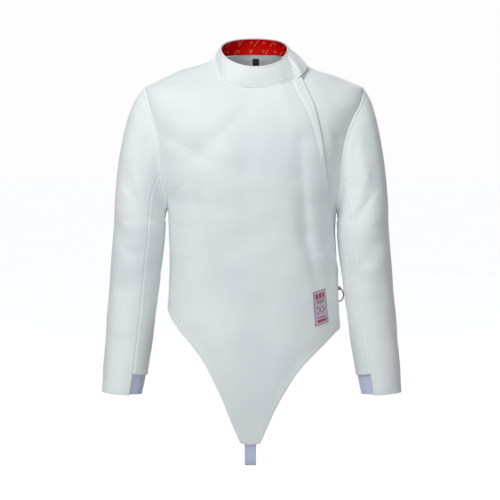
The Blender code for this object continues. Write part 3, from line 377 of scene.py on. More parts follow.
def fold_height(x, z, face):
    """Height of the solids' own folds on the front (face 1) or the back (face -1)."""
    total = np.zeros(np.broadcast(x, z).shape)
    for values in FOLDS:
        row = dict(zip(FOLD_COLUMNS, values))
        along = np.array([row["x1"] - row["x0"], row["z1"] - row["z0"]], float)
        length = np.linalg.norm(along)
        along /= length
        down = (x - row["x0"]) * along[0] + (z - row["z0"]) * along[1]
        beside = (x - row["x0"]) * along[1] - (z - row["z0"]) * along[0]
        past = np.maximum(0.0, np.maximum(-down, down - length))
        term = row["depth"] * np.exp(
            -((beside / row["half_width"]) ** 2) - (past / (1.4 * row["half_width"])) ** 2)
        total += np.where((face > 0) == (row["side"] == "front"), term, 0.0)
    return total


def body_point(angle, height):
    """Points of the garment's body. Angle 0 is the wearer's left side, 90 degrees the front, 180 the right."""
    angle, height = np.broadcast_arrays(np.asarray(angle, float), np.asarray(height, float))
    across, deep = np.cos(angle), np.sin(angle)
    half = np.where(across > 0, torso["left_half"](height), torso["right_half"](height))
    face = np.where(deep > 0, 1.0, -1.0)
    depth = np.where(face > 0, torso["front"](height), torso["back"](height))
    power = 2 / SECTION_POWER
    x = half * np.sign(across) * np.abs(across) ** power
    y = torso["side"](height) - depth * np.sign(deep) * np.abs(deep) ** power
    fold = fold_height(x, height, face) * smoothstep(np.abs(deep) * 2.2)
    return np.stack([x, y - fold * face, height], axis=-1)


def body_normal(angle, height):
    turn, rise = 0.02, 1.5
    across = body_point(angle + turn, height) - body_point(angle - turn, height)
    up = body_point(angle, height + rise) - body_point(angle, height - rise)
    return unit(np.cross(up, across))


def body_angle(place):
    """The angle of the body's point that lies nearest a place at its height."""
    x, y, z = place[..., 0], place[..., 1], place[..., 2]
    half = np.where(x > 0, torso["left_half"](z), torso["right_half"](z))
    off = torso["side"](z) - y
    depth = np.where(off > 0, torso["front"](z), torso["back"](z))
    power = SECTION_POWER / 2
    return np.arctan2(np.sign(off) * (np.abs(off) / depth) ** power, np.sign(x) * (np.abs(x) / half) ** power)


def front_angle(x, height):
    half = torso["left_half"](height) if x > 0 else torso["right_half"](height)
    share = min(1.0, abs(x) / half) ** (SECTION_POWER / 2)
    return math.acos(math.copysign(share, x))


def front_line(points):
    return [(front_angle(x, z), z) for x, z in points]


def back_line(points):
    return [(-front_angle(x, z), z) for x, z in points]


def drawn(points, steps=12):
    """The x and height points of an edge, with more of them on a smooth curve between."""
    points = np.asarray(points, float)
    along = np.concatenate([[0.0], np.cumsum(np.linalg.norm(np.diff(points, axis=0), axis=1))])
    where = np.interp(np.arange(steps * (len(points) - 1) + 1) / steps, np.arange(len(points)), along)
    return list(zip(Smooth(along, points[:, 0])(where), Smooth(along, points[:, 1])(where)))


def side_corner(side, height):
    """The x and height of the garment's side at a height."""
    half = torso[side + "_half"](height)
    return (-half if side == "right" else half), height


def smooth_line(points, count=400):
    points = np.asarray(points, float)
    scaled = points * np.array([110.0, 1.0])
    along = np.concatenate([[0.0], np.cumsum(np.linalg.norm(np.diff(scaled, axis=0), axis=1))])
    where = np.linspace(0, along[-1], count)
    return np.stack([Smooth(along, points[:, 0])(where), Smooth(along, points[:, 1])(where)], axis=1)


def resample(line, shares, on_body=True):
    """Points of the line at shares of its length on the garment."""
    line = np.asarray(line, float)
    solid = body_point(line[:, 0], line[:, 1]) if on_body else line
    along = np.concatenate([[0.0], np.cumsum(np.linalg.norm(np.diff(solid, axis=0), axis=1))])
    where = np.asarray(shares) * along[-1]
    return np.stack([np.interp(where, along, line[:, i]) for i in range(line.shape[1])], axis=1)


def even(count):
    return np.linspace(0, 1, count + 1)


def dense_ends(count, low=0.35, high=0.35, reach=0.08):
    """Shares from 0 to 1 that lie closer together near the ends."""
    middle = (np.arange(count) + 0.5) / count
    step = np.minimum(low + (1 - low) * smoothstep(middle / reach), high + (1 - high) * smoothstep((1 - middle) / reach))
    shares = np.concatenate([[0.0], np.cumsum(step)])
    return shares / shares[-1]


def joined(pieces):
    return np.concatenate([pieces[0]] + [piece[1:] for piece in pieces[1:]])


def armhole_spot(side, face, turn):
    """Angle and height on the armhole. Turn is 0 at the shoulder point and pi at the underarm."""
    tip, under = (RIGHT_TIP, RIGHT_UNDERARM) if side == "right" else (LEFT_TIP, LEFT_UNDERARM)
    height = tip + (under - tip) * (1 - np.cos(turn)) / 2
    inwards = ARMHOLE_ANGLE[side + "_" + face] * np.sin(turn) * (1 + ARMHOLE_SKEW * np.cos(turn))
    angle = math.pi - inwards if side == "right" else inwards
    return (angle if face == "front" else -angle), height


def armhole(side, face, count):
    turns = np.linspace(math.pi, 0, count + 1)
    return np.stack(armhole_spot(side, face, turns), axis=1)


def coons(left, right, bottom, top):
    """A grid of angle and height points filled between four lines. Rows run from bottom to top."""
    v = np.linspace(0, 1, len(left))[:, None, None]
    u = np.linspace(0, 1, len(bottom))[None, :, None]
    return (
        (1 - v) * bottom[None] + v * top[None] + (1 - u) * left[:, None] + u * right[:, None]
        - (1 - u) * (1 - v) * bottom[0] - u * (1 - v) * bottom[-1]
        - (1 - u) * v * top[0] - u * v * top[-1]
    )


def settled(grid, share=1.0):
    """The grid with its inner points evened out, so that it doesn't fold where its edge turns sharply."""
    scale = np.array([110.0, 1.0])
    whole = grid * scale
    count, wide = whole.shape[:2]
    for stride, rounds in ((8, 160), (4, 120), (2, 80)):
        rows = np.unique(np.append(np.arange(0, count, stride), count - 1))
        columns = np.unique(np.append(np.arange(0, wide, stride), wide - 1))
        start = whole[np.ix_(rows, columns)]
        now = start.copy()
        for _ in range(rounds):
            u = (now[1:-1, 2:] - now[1:-1, :-2]) / 2
            v = (now[2:, 1:-1] - now[:-2, 1:-1]) / 2
            across, along, skew = (v * v).sum(-1), (u * u).sum(-1), (u * v).sum(-1)
            twist = (now[2:, 2:] - now[2:, :-2] - now[:-2, 2:] + now[:-2, :-2]) / 4
            target = (
                across[..., None] * (now[1:-1, 2:] + now[1:-1, :-2])
                + along[..., None] * (now[2:, 1:-1] + now[:-2, 1:-1]) - 2 * skew[..., None] * twist
            ) / (2 * (across + along))[..., None]
            now[1:-1, 1:-1] += 0.8 * (target - now[1:-1, 1:-1])
        moved = now - start
        over = np.stack([[np.interp(np.arange(wide), columns, line) for line in moved[..., i]] for i in (0, 1)], -1)
        moved = np.stack([[np.interp(np.arange(count), rows, line) for line in over[..., i].T] for i in (0, 1)], -1)
        whole = whole + moved.transpose(1, 0, 2)
    return grid + share * (whole / scale - grid)


def flap_line():
    side = [(-math.radians(angle), height) for angle, height in reversed(FLAP_EDGE_SIDE)]
    return smooth_line(side + list(reversed(front_line(drawn(FLAP_EDGE)))))


FLAP = flap_line()


def overlap_raise(angle, height):
    edge = np.interp(height, FLAP[:, 1], FLAP[:, 0])
    angle = np.where(angle < -math.pi / 2, angle + 2 * math.pi, angle)
    inside = np.linalg.norm(body_point(angle, height) - body_point(edge, height), axis=-1)
    inside = np.where(angle <= edge, 0.0, inside)
    return OVERLAP_RAISE * (1 - smoothstep((inside - OVERLAP_WIDTH) / (0.75 * OVERLAP_WIDTH)))


def tucked_in(angle, height):
    edge = np.interp(height, FLAP[:, 1], FLAP[:, 0])
    outside = np.linalg.norm(body_point(angle, height) - body_point(edge, height), axis=-1)
    return -UNDER_TUCK * (1 - smoothstep(np.where(angle < edge, outside, 0.0) / TUCK_WIDTH))


def no_raise(angle, height):
    return np.zeros(np.broadcast(angle, height).shape)


def seam_lines():
    """Where pieces are sewn to each other: armholes, shoulders and side seams."""
    lines = [armhole(side, face, 90) for side in ("right", "left") for face in ("front", "back")]
    lines.append(resample([(math.pi, RIGHT_TIP), (math.pi, RIGHT_RIDGE)], even(80)))
    lines.append(resample([(0.0, LEFT_TIP), (0.0, LEFT_RIDGE)], even(80)))
    lines.append(resample([(math.pi, RIGHT_HEM), (math.pi, RIGHT_UNDERARM)], even(90)))
    lines.append(resample(left_side_seam(), even(120)))
    return [body_point(line[:, 0], line[:, 1]) for line in lines]


def left_side_seam():
    line = [(-math.radians(angle), height) for angle, height in LEFT_SIDE_SEAM]
    return smooth_line(line + [(0.0, LEFT_UNDERARM)])


def nearest(lines):
    points = np.concatenate(lines)
    tree = KDTree(len(points))
    for i, point in enumerate(points):
        tree.insert(point, i)
    tree.balance()
    return tree


def distances(tree, places):
    flat = places.reshape(-1, 3)
    return np.array([tree.find(p)[2] for p in flat]).reshape(places.shape[:-1])


def cloth_height(angle, height, seams):
    """Creases and unevenness of the body's cloth, which die away at the seams, and the dip of the seams."""
    places = body_point(angle, height)
    x, z = places[..., 0], places[..., 2]
    far = distances(seams, places)
    front = np.sin(angle) > 0
    total = np.where(front, crease_height(CREASES, "front", x, z), crease_height(CREASES, "back", x, z))
    # The cloth rounds off the corner between the shoulders' slope and the upright back
    total += np.where(front, -1.5, -4.0) * np.exp(-((z + 43) / 13) ** 2) * smoothstep((np.abs(x) - 90) / 70)
    total = (total + ripple(x + np.where(front, 0, 31.0), z)) * smoothstep(far / 22.0)
    return total - 0.7 * np.exp(-(far / 1.5) ** 2) + 0.35 * np.exp(-(((far - 4.2) / 2.2) ** 2))


def surface(angle, height, outward, seams):
    """Outer places of the cloth, and its outward directions."""
    normals = body_normal(angle, height)
    lift = outward(angle, height) + cloth_height(angle, height, seams)
    return body_point(angle, height) + normals * lift[..., None], normals


def mesh_object(name, points, faces, uvs=None, sharp=50.0):
    """A closed mesh in metres from points in millimetres, with its faces turned outwards."""
    mesh = bpy.data.meshes.new(name)
    mesh.from_pydata((np.asarray(points) * MM).tolist(), [], faces)
    if uvs is not None:
        layer = mesh.uv_layers.new(name="cloth")
        corner = np.empty(len(mesh.loops), np.int32)
        mesh.loops.foreach_get("vertex_index", corner)
        layer.data.foreach_set("uv", (np.asarray(uvs) * MM)[corner].astype(np.float32).ravel())
    shaped = bmesh.new()
    shaped.from_mesh(mesh)
    bmesh.ops.recalc_face_normals(shaped, faces=shaped.faces)
    if shaped.calc_volume(signed=True) < 0:
        bmesh.ops.reverse_faces(shaped, faces=shaped.faces)
    shaped.to_mesh(mesh)
    shaped.free()
    mesh.shade_smooth()
    mesh.set_sharp_from_angle(angle=math.radians(sharp))
    thing = bpy.data.objects.new(name, mesh)
    bpy.context.scene.collection.objects.link(thing)
    return thing


def flat_map(places):
    """A map of the cloth in millimetres, measured along its own rows and columns."""
    across = np.linalg.norm(np.diff(places, axis=1), axis=-1)
    up = np.linalg.norm(np.diff(places, axis=0), axis=-1)
    u = np.concatenate([np.zeros((len(places), 1)), np.cumsum(across, axis=1)], axis=1)
    v = np.concatenate([np.zeros((1, places.shape[1])), np.cumsum(up, axis=0)])
    return np.stack([u - u[:, places.shape[1] // 2][:, None], v], axis=-1)


def wall(name, outer, inner):
    """A closed wall between two grids of places, with a flat map of the cloth."""
    rows, columns, _ = outer.shape
    points = np.concatenate([outer.reshape(-1, 3), inner.reshape(-1, 3)])
    flat = flat_map(outer).reshape(-1, 2)
    under = rows * columns
    index = np.arange(under).reshape(rows, columns)
    a, b, c, d = index[:-1, :-1], index[:-1, 1:], index[1:, 1:], index[1:, :-1]
    quads = [np.stack([a, b, c, d], -1).reshape(-1, 4), np.stack([d, c, b, a], -1).reshape(-1, 4) + under]
    for line in (index[0], index[-1], index[:, 0], index[:, -1]):
        quads.append(np.stack([line[:-1] + under, line[1:] + under, line[1:], line[:-1]], -1))
    return mesh_object(name, points, np.concatenate(quads).tolist(), np.concatenate([flat, flat]))


def tube(name, rings, closed_along=False):
    """A closed body through a row of rings of places. Its ends are capped, or meet if it is closed along."""
    count, around, _ = rings.shape
    index = np.arange(count * around).reshape(count, around)
    ring = np.concatenate([index, index[:, :1]], axis=1)
    if closed_along:
        ring = np.concatenate([ring, ring[:1]])
    faces = np.stack([ring[:-1, :-1], ring[:-1, 1:], ring[1:, 1:], ring[1:, :-1]], -1).reshape(-1, 4).tolist()
    if not closed_along:
        faces += [index[0][::-1].tolist(), index[-1].tolist()]
    along = np.concatenate([[0], np.cumsum(np.linalg.norm(np.diff(rings[:, 0], axis=0), axis=1))])
    around_mm = np.concatenate([[0], np.cumsum(np.linalg.norm(np.diff(rings[0], axis=0), axis=1))])
    uvs = np.stack(np.meshgrid(around_mm, along), -1).reshape(-1, 2)
    return mesh_object(name, rings.reshape(-1, 3), faces, uvs)


def beside_line(line, offsets, inside, outward, seams, lifts=None):
    """Places at offsets inwards from a line on the body. inside is 1 if inwards is to the left of its run."""
    base, normal = body_point(line[:, 0], line[:, 1]), body_normal(line[:, 0], line[:, 1])
    steps = unit(np.diff(base, axis=0))
    before, after = np.concatenate([steps[:1], steps]), np.concatenate([steps, steps[-1:]])
    inwards = unit(np.cross(normal, unit(before + after))) * inside
    inwards /= np.sqrt(np.clip((1 + (before * after).sum(-1)) / 2, 0.3, 1))[:, None]
    target = base[:, None] + inwards[:, None] * np.asarray(offsets, float)[None, :, None]
    angle, height = body_angle(target), target[..., 2]
    places, normals = surface(angle, height, outward, seams)
    if lifts is not None:
        places = places + normals * np.asarray(lifts, float)[None, :, None]
    return places, normals


def band(name, line, profile, inside, outward, seams):
    offsets, lifts = zip(*profile)
    places, _ = beside_line(line, offsets, inside, outward, seams, lifts)
    return tube(name, places)


def merged(name, things):
    """Several objects as one."""
    mesh = bpy.data.meshes.new(name)
    whole = bmesh.new()
    for thing in things:
        whole.from_mesh(thing.data)
    whole.to_mesh(mesh)
    whole.free()
    mesh.shade_smooth()
    mesh.set_sharp_from_angle(angle=math.radians(50))
    one = bpy.data.objects.new(name, mesh)
    bpy.context.scene.collection.objects.link(one)
    for thing in things:
        old = thing.data
        bpy.data.objects.remove(thing, do_unlink=True)
        bpy.data.meshes.remove(old)
    return one


def finish_piece(thing, material, replaced=(), body=BODY):
    thing.data.materials.clear()
    thing.data.materials.append(material)
    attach(thing, body)
    if replaced:
        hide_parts(*replaced)
    return thing


def cut_size(places):
    """The flat size of a piece, measured on its own cloth: width, length and area in metres."""
    flat = flat_map(places)
    width = float(np.ptp(flat[..., 0], axis=1).max()) * MM
    length = float(np.ptp(flat[..., 1], axis=0).max()) * MM
    a, b, c, d = places[:-1, :-1], places[:-1, 1:], places[1:, 1:], places[1:, :-1]
    area = float((np.linalg.norm(np.cross(b - a, d - a), axis=-1) + np.linalg.norm(np.cross(b - c, d - c), axis=-1)).sum() / 2)
    return (width, length), min(area * MM * MM, width * length)


# Body panels


def leg_line(side):
    if side == "right":
        return smooth_line(front_line(drawn((side_corner("right", RIGHT_HEM),) + LEG_RIGHT + TAIL_TIP[:1])))
    return smooth_line(front_line(drawn(TAIL_TIP[-1:] + LEG_LEFT)) + [tuple(FLAP[0])])


def neck_line(part):
    right, left = side_corner("right", RIGHT_RIDGE), side_corner("left", LEFT_RIDGE)
    if part == "front":
        return smooth_line(front_line(drawn((right,) + NECK_FRONT)))
    if part == "under":
        return smooth_line(front_line(drawn(NECK_UNDER + (left,))))
    return smooth_line(back_line(drawn((right,) + NECK_BACK + (left,))))


def hem_line():
    foot = left_side_seam()[0]
    return smooth_line(back_line(drawn((side_corner("right", RIGHT_HEM),) + BACK_HEM)) + [tuple(foot)])


def front_lines(across, rows):
    low, arm, high = rows
    shares = dense_ends(sum(rows), 0.3, 0.6, 0.05)
    left = joined([
        resample([(math.pi, RIGHT_HEM), (math.pi, RIGHT_UNDERARM)], shares[:low + 1] / shares[low]),
        armhole("right", "front", arm),
        resample([(math.pi, RIGHT_TIP), (math.pi, RIGHT_RIDGE)], even(high)),
    ])
    right = resample(FLAP, shares)
    columns = dense_ends(across)
    half = len(columns) // 2
    rest = columns[half + 5:] - columns[half + 5]
    bottom = joined([
        resample(leg_line("right"), columns[:half - 4] / columns[half - 5]),
        resample(smooth_line(front_line(TAIL_TIP)), even(10)),
        resample(leg_line("left"), rest / rest[-1]),
    ])
    top = resample(neck_line("front"), dense_ends(len(bottom) - 1))
    return left, right, bottom, top


def panel(name, grid, outward, seams, material, node, wall_mm=WALL):
    places, normals = surface(grid[..., 0], grid[..., 1], outward, seams)
    thing = wall(name, places, places - normals * wall_mm)
    finish_piece(thing, material, [node])
    return thing


def under_lines(across, rows):
    low, arm, high = rows
    right = joined([
        resample(left_side_seam(), even(low)),
        armhole("left", "front", arm),
        resample([(0.0, LEFT_TIP), (0.0, LEFT_RIDGE)], even(high)),
    ])
    top = resample(neck_line("under"), even(across))
    hidden = []
    for edge, height in FLAP[::4]:
        if HIDDEN_BOTTOM < height < HIDDEN_TOP:
            turns = edge + np.arange(0, 1.4, 0.004)
            far = np.linalg.norm(body_point(turns, height) - body_point(edge, height), axis=-1)
            hidden.append((turns[np.argmax(far > HIDDEN_WIDTH)], height))
    left = resample(np.concatenate([hidden, [top[0]]]), even(sum(rows)))
    middle = (0.3 * left[0][0] + 0.7 * right[0][0], LEFT_HEM + 2)
    bottom = resample(smooth_line([tuple(left[0]), middle, tuple(right[0])]), even(across))
    return left, right, bottom, top


def back_lines(across, rows):
    low, arm, high = rows
    shares = dense_ends(low, 0.35, 1.0, 0.3)
    left = joined([
        resample([(-math.pi, RIGHT_HEM), (-math.pi, RIGHT_UNDERARM)], shares),
        armhole("right", "back", arm),
        resample([(-math.pi, RIGHT_TIP), (-math.pi, RIGHT_RIDGE)], even(high)),
    ])
    right = joined([
        resample(left_side_seam(), shares),
        armhole("left", "back", arm),
        resample([(0.0, LEFT_TIP), (0.0, LEFT_RIDGE)], even(high)),
    ])
    columns = dense_ends(across)
    bottom = resample(hem_line(), columns)
    top = resample(neck_line("back"), columns)
    return left, right, bottom, top


def placket_raise(angle, height):
    """The front's overlap, with the facing turned in along its free edge as a low flat step."""
    places = body_point(angle, height)
    x, z = places[..., 0], places[..., 2]
    lift = overlap_raise(angle, height)
    line_x = np.interp(-z, [-h for _, h in PLACKET], [w for w, _ in PLACKET])
    inside = np.where((np.sin(angle) > 0) & (z > PLACKET[-1][1] - 40), x - line_x, -99.0)
    fade = smoothstep((z - PLACKET[-1][1] + 40) / 60)
    step = 1.0 * smoothstep((inside + 1.5) / 5.0) - 1.1 * np.exp(-((inside + 1.0) / 3.4) ** 2)
    return lift + np.where(inside > -60, step * fade, 0.0)


# Collar


def rim_point(turn):
    x, y, z = RIM_MIDDLE
    return np.array([
        x + RIM_HALF_WIDTH * math.cos(turn), y - RIM_HALF_DEPTH * math.sin(turn),
        z - RIM_TILT * math.sin(turn) + RIM_SADDLE * math.cos(turn) ** 2])


def space_line(points, shares):
    points = np.asarray(points, float)
    along = np.concatenate([[0.0], np.cumsum(np.linalg.norm(np.diff(points, axis=0), axis=1))])
    curves = [Smooth(along, points[:, i]) for i in range(3)]
    where = np.linspace(0, along[-1], 1200)
    fine = np.stack([curve(where) for curve in curves], axis=1)
    return resample(fine, shares, on_body=False)


def grid_normals(places):
    return unit(np.cross(np.gradient(places, axis=0), np.gradient(places, axis=1)))


def collar_grid(columns, rows):
    """The collar's outer face at shares along it and up it, and its normals."""
    def spot(pair, raised=False):
        angle, z = np.float64(pair[0]), np.float64(pair[1])
        lift = float(overlap_raise(angle, z)) if raised else 0.0
        return body_point(angle, z) + body_normal(angle, z) * lift

    right, left = side_corner("right", RIGHT_RIDGE), side_corner("left", LEFT_RIDGE)
    front = [spot(pair, True) for pair in reversed(front_line(drawn((right,) + NECK_FRONT[:-1], 6))[1:])]
    back = [spot(pair) for pair in back_line(drawn((right,) + NECK_BACK + (left,), 6))]
    under = [spot(pair) for pair in reversed(front_line(drawn(NECK_UNDER[2:] + (left,), 6))[:-1])]
    bottom = [np.array(p, float) for p in TAB_BOTTOM] + front + back + under
    lift = np.array([0.0, 0.0, COLLAR_LIFT])
    bottom = [p + lift for p in bottom]
    bottom[-1] = bottom[-1] + lift
    top = [np.array(p, float) for p in TAB_TOP]
    for turn in np.radians(np.concatenate([np.linspace(6, 180, 15), np.linspace(192, 360, 15), [378, 396]])):
        point = rim_point(turn)
        inward = smoothstep((math.degrees(turn) - 270) / 80) * HIDDEN_END_INSET
        reach = np.array([RIM_MIDDLE[0], RIM_MIDDLE[1], point[2]]) - point
        top.append(point + reach / np.linalg.norm(reach) * inward)
    low, high = space_line(bottom, columns), space_line(top, columns)
    share = np.asarray(rows)[:, None, None]
    flat = low * (1 - share) + high * share
    spring = np.cross(high - low, np.gradient(low, axis=0))
    return flat + unit(spring)[None] * COLLAR_SPRING * 4 * share * (1 - share)


def collar_relief(places):
    """Rolled rim, topstitched seam, the ribs sewn over the tab's tape, and the collar's creases."""
    flat = flat_map(places)
    up = flat[..., 1]
    from_rim = up[-1][None] - up
    along = flat[..., 0] - flat[:, :1, 0]
    relief = 0.55 * np.exp(-((from_rim - 1.2) / 1.6) ** 2) - 0.5 * np.exp(-((from_rim - 4.2) / 0.9) ** 2)
    relief += 0.45 * np.exp(-((up - 1.4) / 1.4) ** 2) - 0.6 * np.exp(-((up - 4.0) / 0.9) ** 2)
    relief += 0.3 * np.exp(-((up - 6.4) / 1.6) ** 2)
    on_tab = smoothstep((TAB_LENGTH - along) / 3.0) * smoothstep(from_rim / 4.0) * smoothstep((up - 6) / 4.0)
    zigzag = 0.5 * np.abs(((along / 3.0) % 2) - 1)
    relief += on_tab * 0.42 * np.sin(2 * math.pi * (from_rim / 3.3 + zigzag))
    relief += 0.5 * on_tab
    relief -= 0.9 * np.exp(-((along - TAB_LENGTH - 1.0) / 1.6) ** 2) * smoothstep((up - 4) / 4)
    # The upright folds where the band turns at the wearer's right, and slacker ones round the back
    for place, width, height in ((0.36, 5.0, 1.1), (0.40, 7.0, -0.9), (0.47, 8.0, 0.5), (0.30, 12.0, -0.5),
                                 (0.62, 12.0, -0.7), (0.74, 10.0, 0.5), (0.22, 11.0, 0.35)):
        whole = along[0, -1]
        lean = 0.12 * (up - up.mean())
        relief += height * np.exp(-((along - place * whole - lean) / width) ** 2) * smoothstep((up - 2) / 12)
    return relief


# Sleeves


def sleeve_fold(angle, down):
    degrees = np.degrees(angle) % 360
    total = np.zeros(np.broadcast(angle, down).shape)
    for values in SLEEVE_FOLDS:
        row = dict(zip(SLEEVE_FOLD_COLUMNS, values))
        along = np.array([(row["angle1"] - row["angle0"]) / 100, row["down1"] - row["down0"]])
        turn = (degrees - row["angle0"] + 180) % 360 - 180
        offset = np.stack([turn / 100, down - row["down0"]], axis=-1)
        share = np.clip(offset @ along / (along @ along), 0, 1)
        miss = offset - share[..., None] * along
        total += row["depth"] * np.exp(
            -((100 * miss[..., 0] / row["half_angle"]) ** 2) - (miss[..., 1] / row["half_down"]) ** 2)
    return total


def sleeve_section(side, angle, height):
    outward = -1.0 if side == "right" else 1.0
    centre_at = lambda z: np.stack([sleeve_column[side + "_x"](z), sleeve_column[side + "_y"](z), z], axis=-1)
    above, below = centre_at(height + 8), centre_at(height - 8)
    axis = unit(below - above)
    wide = np.array([outward, 0.0, 0.0]) - axis * (axis[..., :1] * outward)
    forward = np.array([0.0, -1.0, 0.0]) - axis * (-axis[..., 1:2])
    point = ((above + below) / 2
             + unit(wide) * (np.cos(angle) * sleeve_column["half_width"](height))[..., None]
             + unit(forward) * (np.sin(angle) * sleeve_column["half_depth"](height))[..., None])
    return point, axis


def armhole_place(side, angle):
    turn = angle % (2 * math.pi)
    front, back = armhole_spot(side, "front", turn), armhole_spot(side, "back", 2 * math.pi - turn)
    first = turn <= math.pi
    spot = (np.where(first, front[0], back[0]), np.where(first, front[1], back[1]))
    return body_point(*spot), body_normal(*spot)


def sleeve_point(side, angle, down):
    """Points of the sleeve: down is 0 at the armhole and 1 at the cuff. Angle 0 is the outside of the arm."""
    angle, down = np.broadcast_arrays(np.asarray(angle, float), np.asarray(down, float))
    outward = -1.0 if side == "right" else 1.0
    share = np.clip((down - CAP_SHARE) / (1 - CAP_SHARE), 0, 1)
    height = FIRST_SECTION + share * (LAST_SECTION - FIRST_SECTION)
    plain, _ = sleeve_section(side, angle, height)
    seam, _ = armhole_place(side, angle)
    end, axis = sleeve_section(side, angle, np.full(angle.shape, float(FIRST_SECTION)))
    s = np.clip(down / CAP_SHARE, 0, 1)[..., None]
    length = np.linalg.norm(end - seam, axis=-1, keepdims=True)
    top, under = CAP_DROOP[side], UNDERARM_DROOP
    droop = np.radians((top + under) / 2 + (top - under) / 2 * np.cos(angle))
    leave = np.stack([outward * np.cos(droop), -CAP_SPREAD * np.sin(angle), -np.sin(droop)], axis=-1)
    cap = ((1 + 2 * s) * (1 - s) ** 2 * seam + s * (1 - s) ** 2 * leave * length * CAP_PULL[side]
           + s * s * (3 - 2 * s) * end + s * s * (s - 1) * axis * length)
    point = np.where((down >= CAP_SHARE)[..., None], plain, cap)
    height = np.where(down >= CAP_SHARE, height, FIRST_SECTION)
    centre = np.stack([sleeve_column[side + "_x"](height), sleeve_column[side + "_y"](height), point[..., 2]], axis=-1)
    return point + unit(point - centre) * (sleeve_fold(angle, down) * smoothstep(down * 5))[..., None]


def sleeve_normal(side, angle, down):
    angle, down = np.broadcast_arrays(np.asarray(angle, float), np.asarray(down, float))
    turn, step = 0.03, 0.01
    around = sleeve_point(side, angle + turn, down) - sleeve_point(side, angle - turn, down)
    along = (sleeve_point(side, angle, np.minimum(down + step, 1)) - sleeve_point(side, angle, np.maximum(down - step, 0)))
    normal = unit(np.cross(around, along))
    return normal if side == "left" else -normal


def sleeve_cloth(side, angle, down):
    """Creases and unevenness of a sleeve, in its own flat."""
    degrees = np.degrees(angle)
    degrees = np.where(degrees > 246.5, degrees - 360, degrees)
    length = down * SLEEVE_LENGTH
    total = np.zeros(np.broadcast(angle, down).shape)
    for turn in (-360, 0, 360):
        total += crease_height(SLEEVE_CREASES, side, degrees + turn, length)
    wave = np.cos(np.radians(degrees)) * 60, np.sin(np.radians(degrees)) * 60
    total += ripple(wave[0] + length * 0.4, wave[1] + length)
    return total * smoothstep(length / 26.0)


def elastic_down():
    share = 1 - CUFF_ELASTIC / (FIRST_SECTION - LAST_SECTION)
    return CAP_SHARE + (1 - CAP_SHARE) * share


def sleeve_surface(side, angle, down):
    places, normals = sleeve_point(side, angle, down), sleeve_normal(side, angle, down)
    seam_normals = armhole_place(side, angle)[1]
    near = smoothstep(down * SLEEVE_LENGTH / 8.0)[..., None]
    normals = unit(seam_normals * (1 - near) + normals * near)
    return places + normals * sleeve_cloth(side, angle, down)[..., None], normals


def sleeve_grid(side, start, end, columns, rows, last_down, hem):
    """One piece of a sleeve, with its seams pulled in and its hem turned up and stitched."""
    shares = dense_ends(rows, 0.25, 0.16, 0.07)
    down = (shares * last_down)[:, None] * np.ones(columns + 1)
    angle = np.radians(start + (end - start) * dense_ends(columns, 0.4, 0.4, 0.1))[None] * np.ones((rows + 1, 1))
    places, normals = sleeve_surface(side, angle, down)
    flat = flat_map(places)
    from_top = flat[..., 1]
    from_hem = from_top[-1][None] - from_top
    from_side = np.minimum(flat[..., 0] - flat[:, :1, 0], flat[:, -1:, 0] - flat[..., 0])
    relief = -0.7 * np.exp(-(from_side / 1.4) ** 2) + 0.3 * np.exp(-(((from_side - 4) / 2) ** 2))
    relief += -0.9 * np.exp(-(from_top / 1.3) ** 2) + 0.9 * np.exp(-(((from_top - 3.6) / 2.2) ** 2))
    for stitch in hem:
        relief -= 0.6 * np.exp(-(((from_hem - stitch) / 0.9) ** 2))
    relief += 0.5 * (1 - smoothstep((from_hem - hem[-1] - 1) / 2.5)) - 0.5 * np.exp(-(from_hem / 0.8) ** 2)
    edge = np.zeros_like(places[0])
    middle = armhole_middle(side)
    edge = middle - places[0]
    edge -= normals[0] * np.sum(edge * normals[0], axis=-1, keepdims=True)
    places[0] += unit(edge) * ARMHOLE_ROOM
    return places + normals * relief[..., None], normals


def armhole_middle(side):
    turns = np.array([0.0, math.pi / 2, math.pi])
    spots = [body_point(*armhole_spot(side, face, turns)) for face in ("front", "back")]
    return np.concatenate(spots).mean(axis=0)


# Small pieces


def inside_spot(x, height, face):
    angle = face * front_angle(x, height)
    spot = body_point(angle, height) - body_normal(angle, height) * (WALL + STRAP_LIFT[face])
    return np.array([x, spot[1], height])


def strap_grid(columns, rows):
    path = [inside_spot(STRAP_MIDDLE, height, 1) for height in STRAP_IN_TAIL]
    path += [np.array([STRAP_MIDDLE, y, z]) for y, z in STRAP_PATH]
    path += [inside_spot(STRAP_MIDDLE, height, -1) for height in STRAP_IN_BACK]
    line = space_line(path, even(rows))
    along = unit(np.gradient(line, axis=0))
    normals = np.cross(np.array([1.0, 0.0, 0.0]), along)
    share = even(columns)
    places = line[:, None] + np.array([1.0, 0, 0]) * ((share - 0.5) * STRAP_WIDTH)[None, :, None]
    return places, np.broadcast_to(normals[:, None], places.shape)


def label_spot(u, v):
    """Angle and height on the hip label: u is 0 to 1 across it, v is 0 to 1 down it."""
    corners = np.array(front_line(HIP_LABEL))
    u, v = np.asarray(u, float)[..., None], np.asarray(v, float)[..., None]
    top = corners[0] * (1 - u) + corners[1] * u
    bottom = corners[3] * (1 - u) + corners[2] * u
    return top * (1 - v) + bottom * v


def label_patch(name, u0, v0, u1, v1, lift, thickness, seams, steps=(6, 6)):
    u, v = np.meshgrid(np.linspace(u0, u1, steps[0] + 1), np.linspace(v0, v1, steps[1] + 1))
    spots = label_spot(u, v)
    places, normals = surface(spots[..., 0], spots[..., 1], overlap_raise, seams)
    places = places + normals * lift
    return wall(name, places, places - normals * thickness)


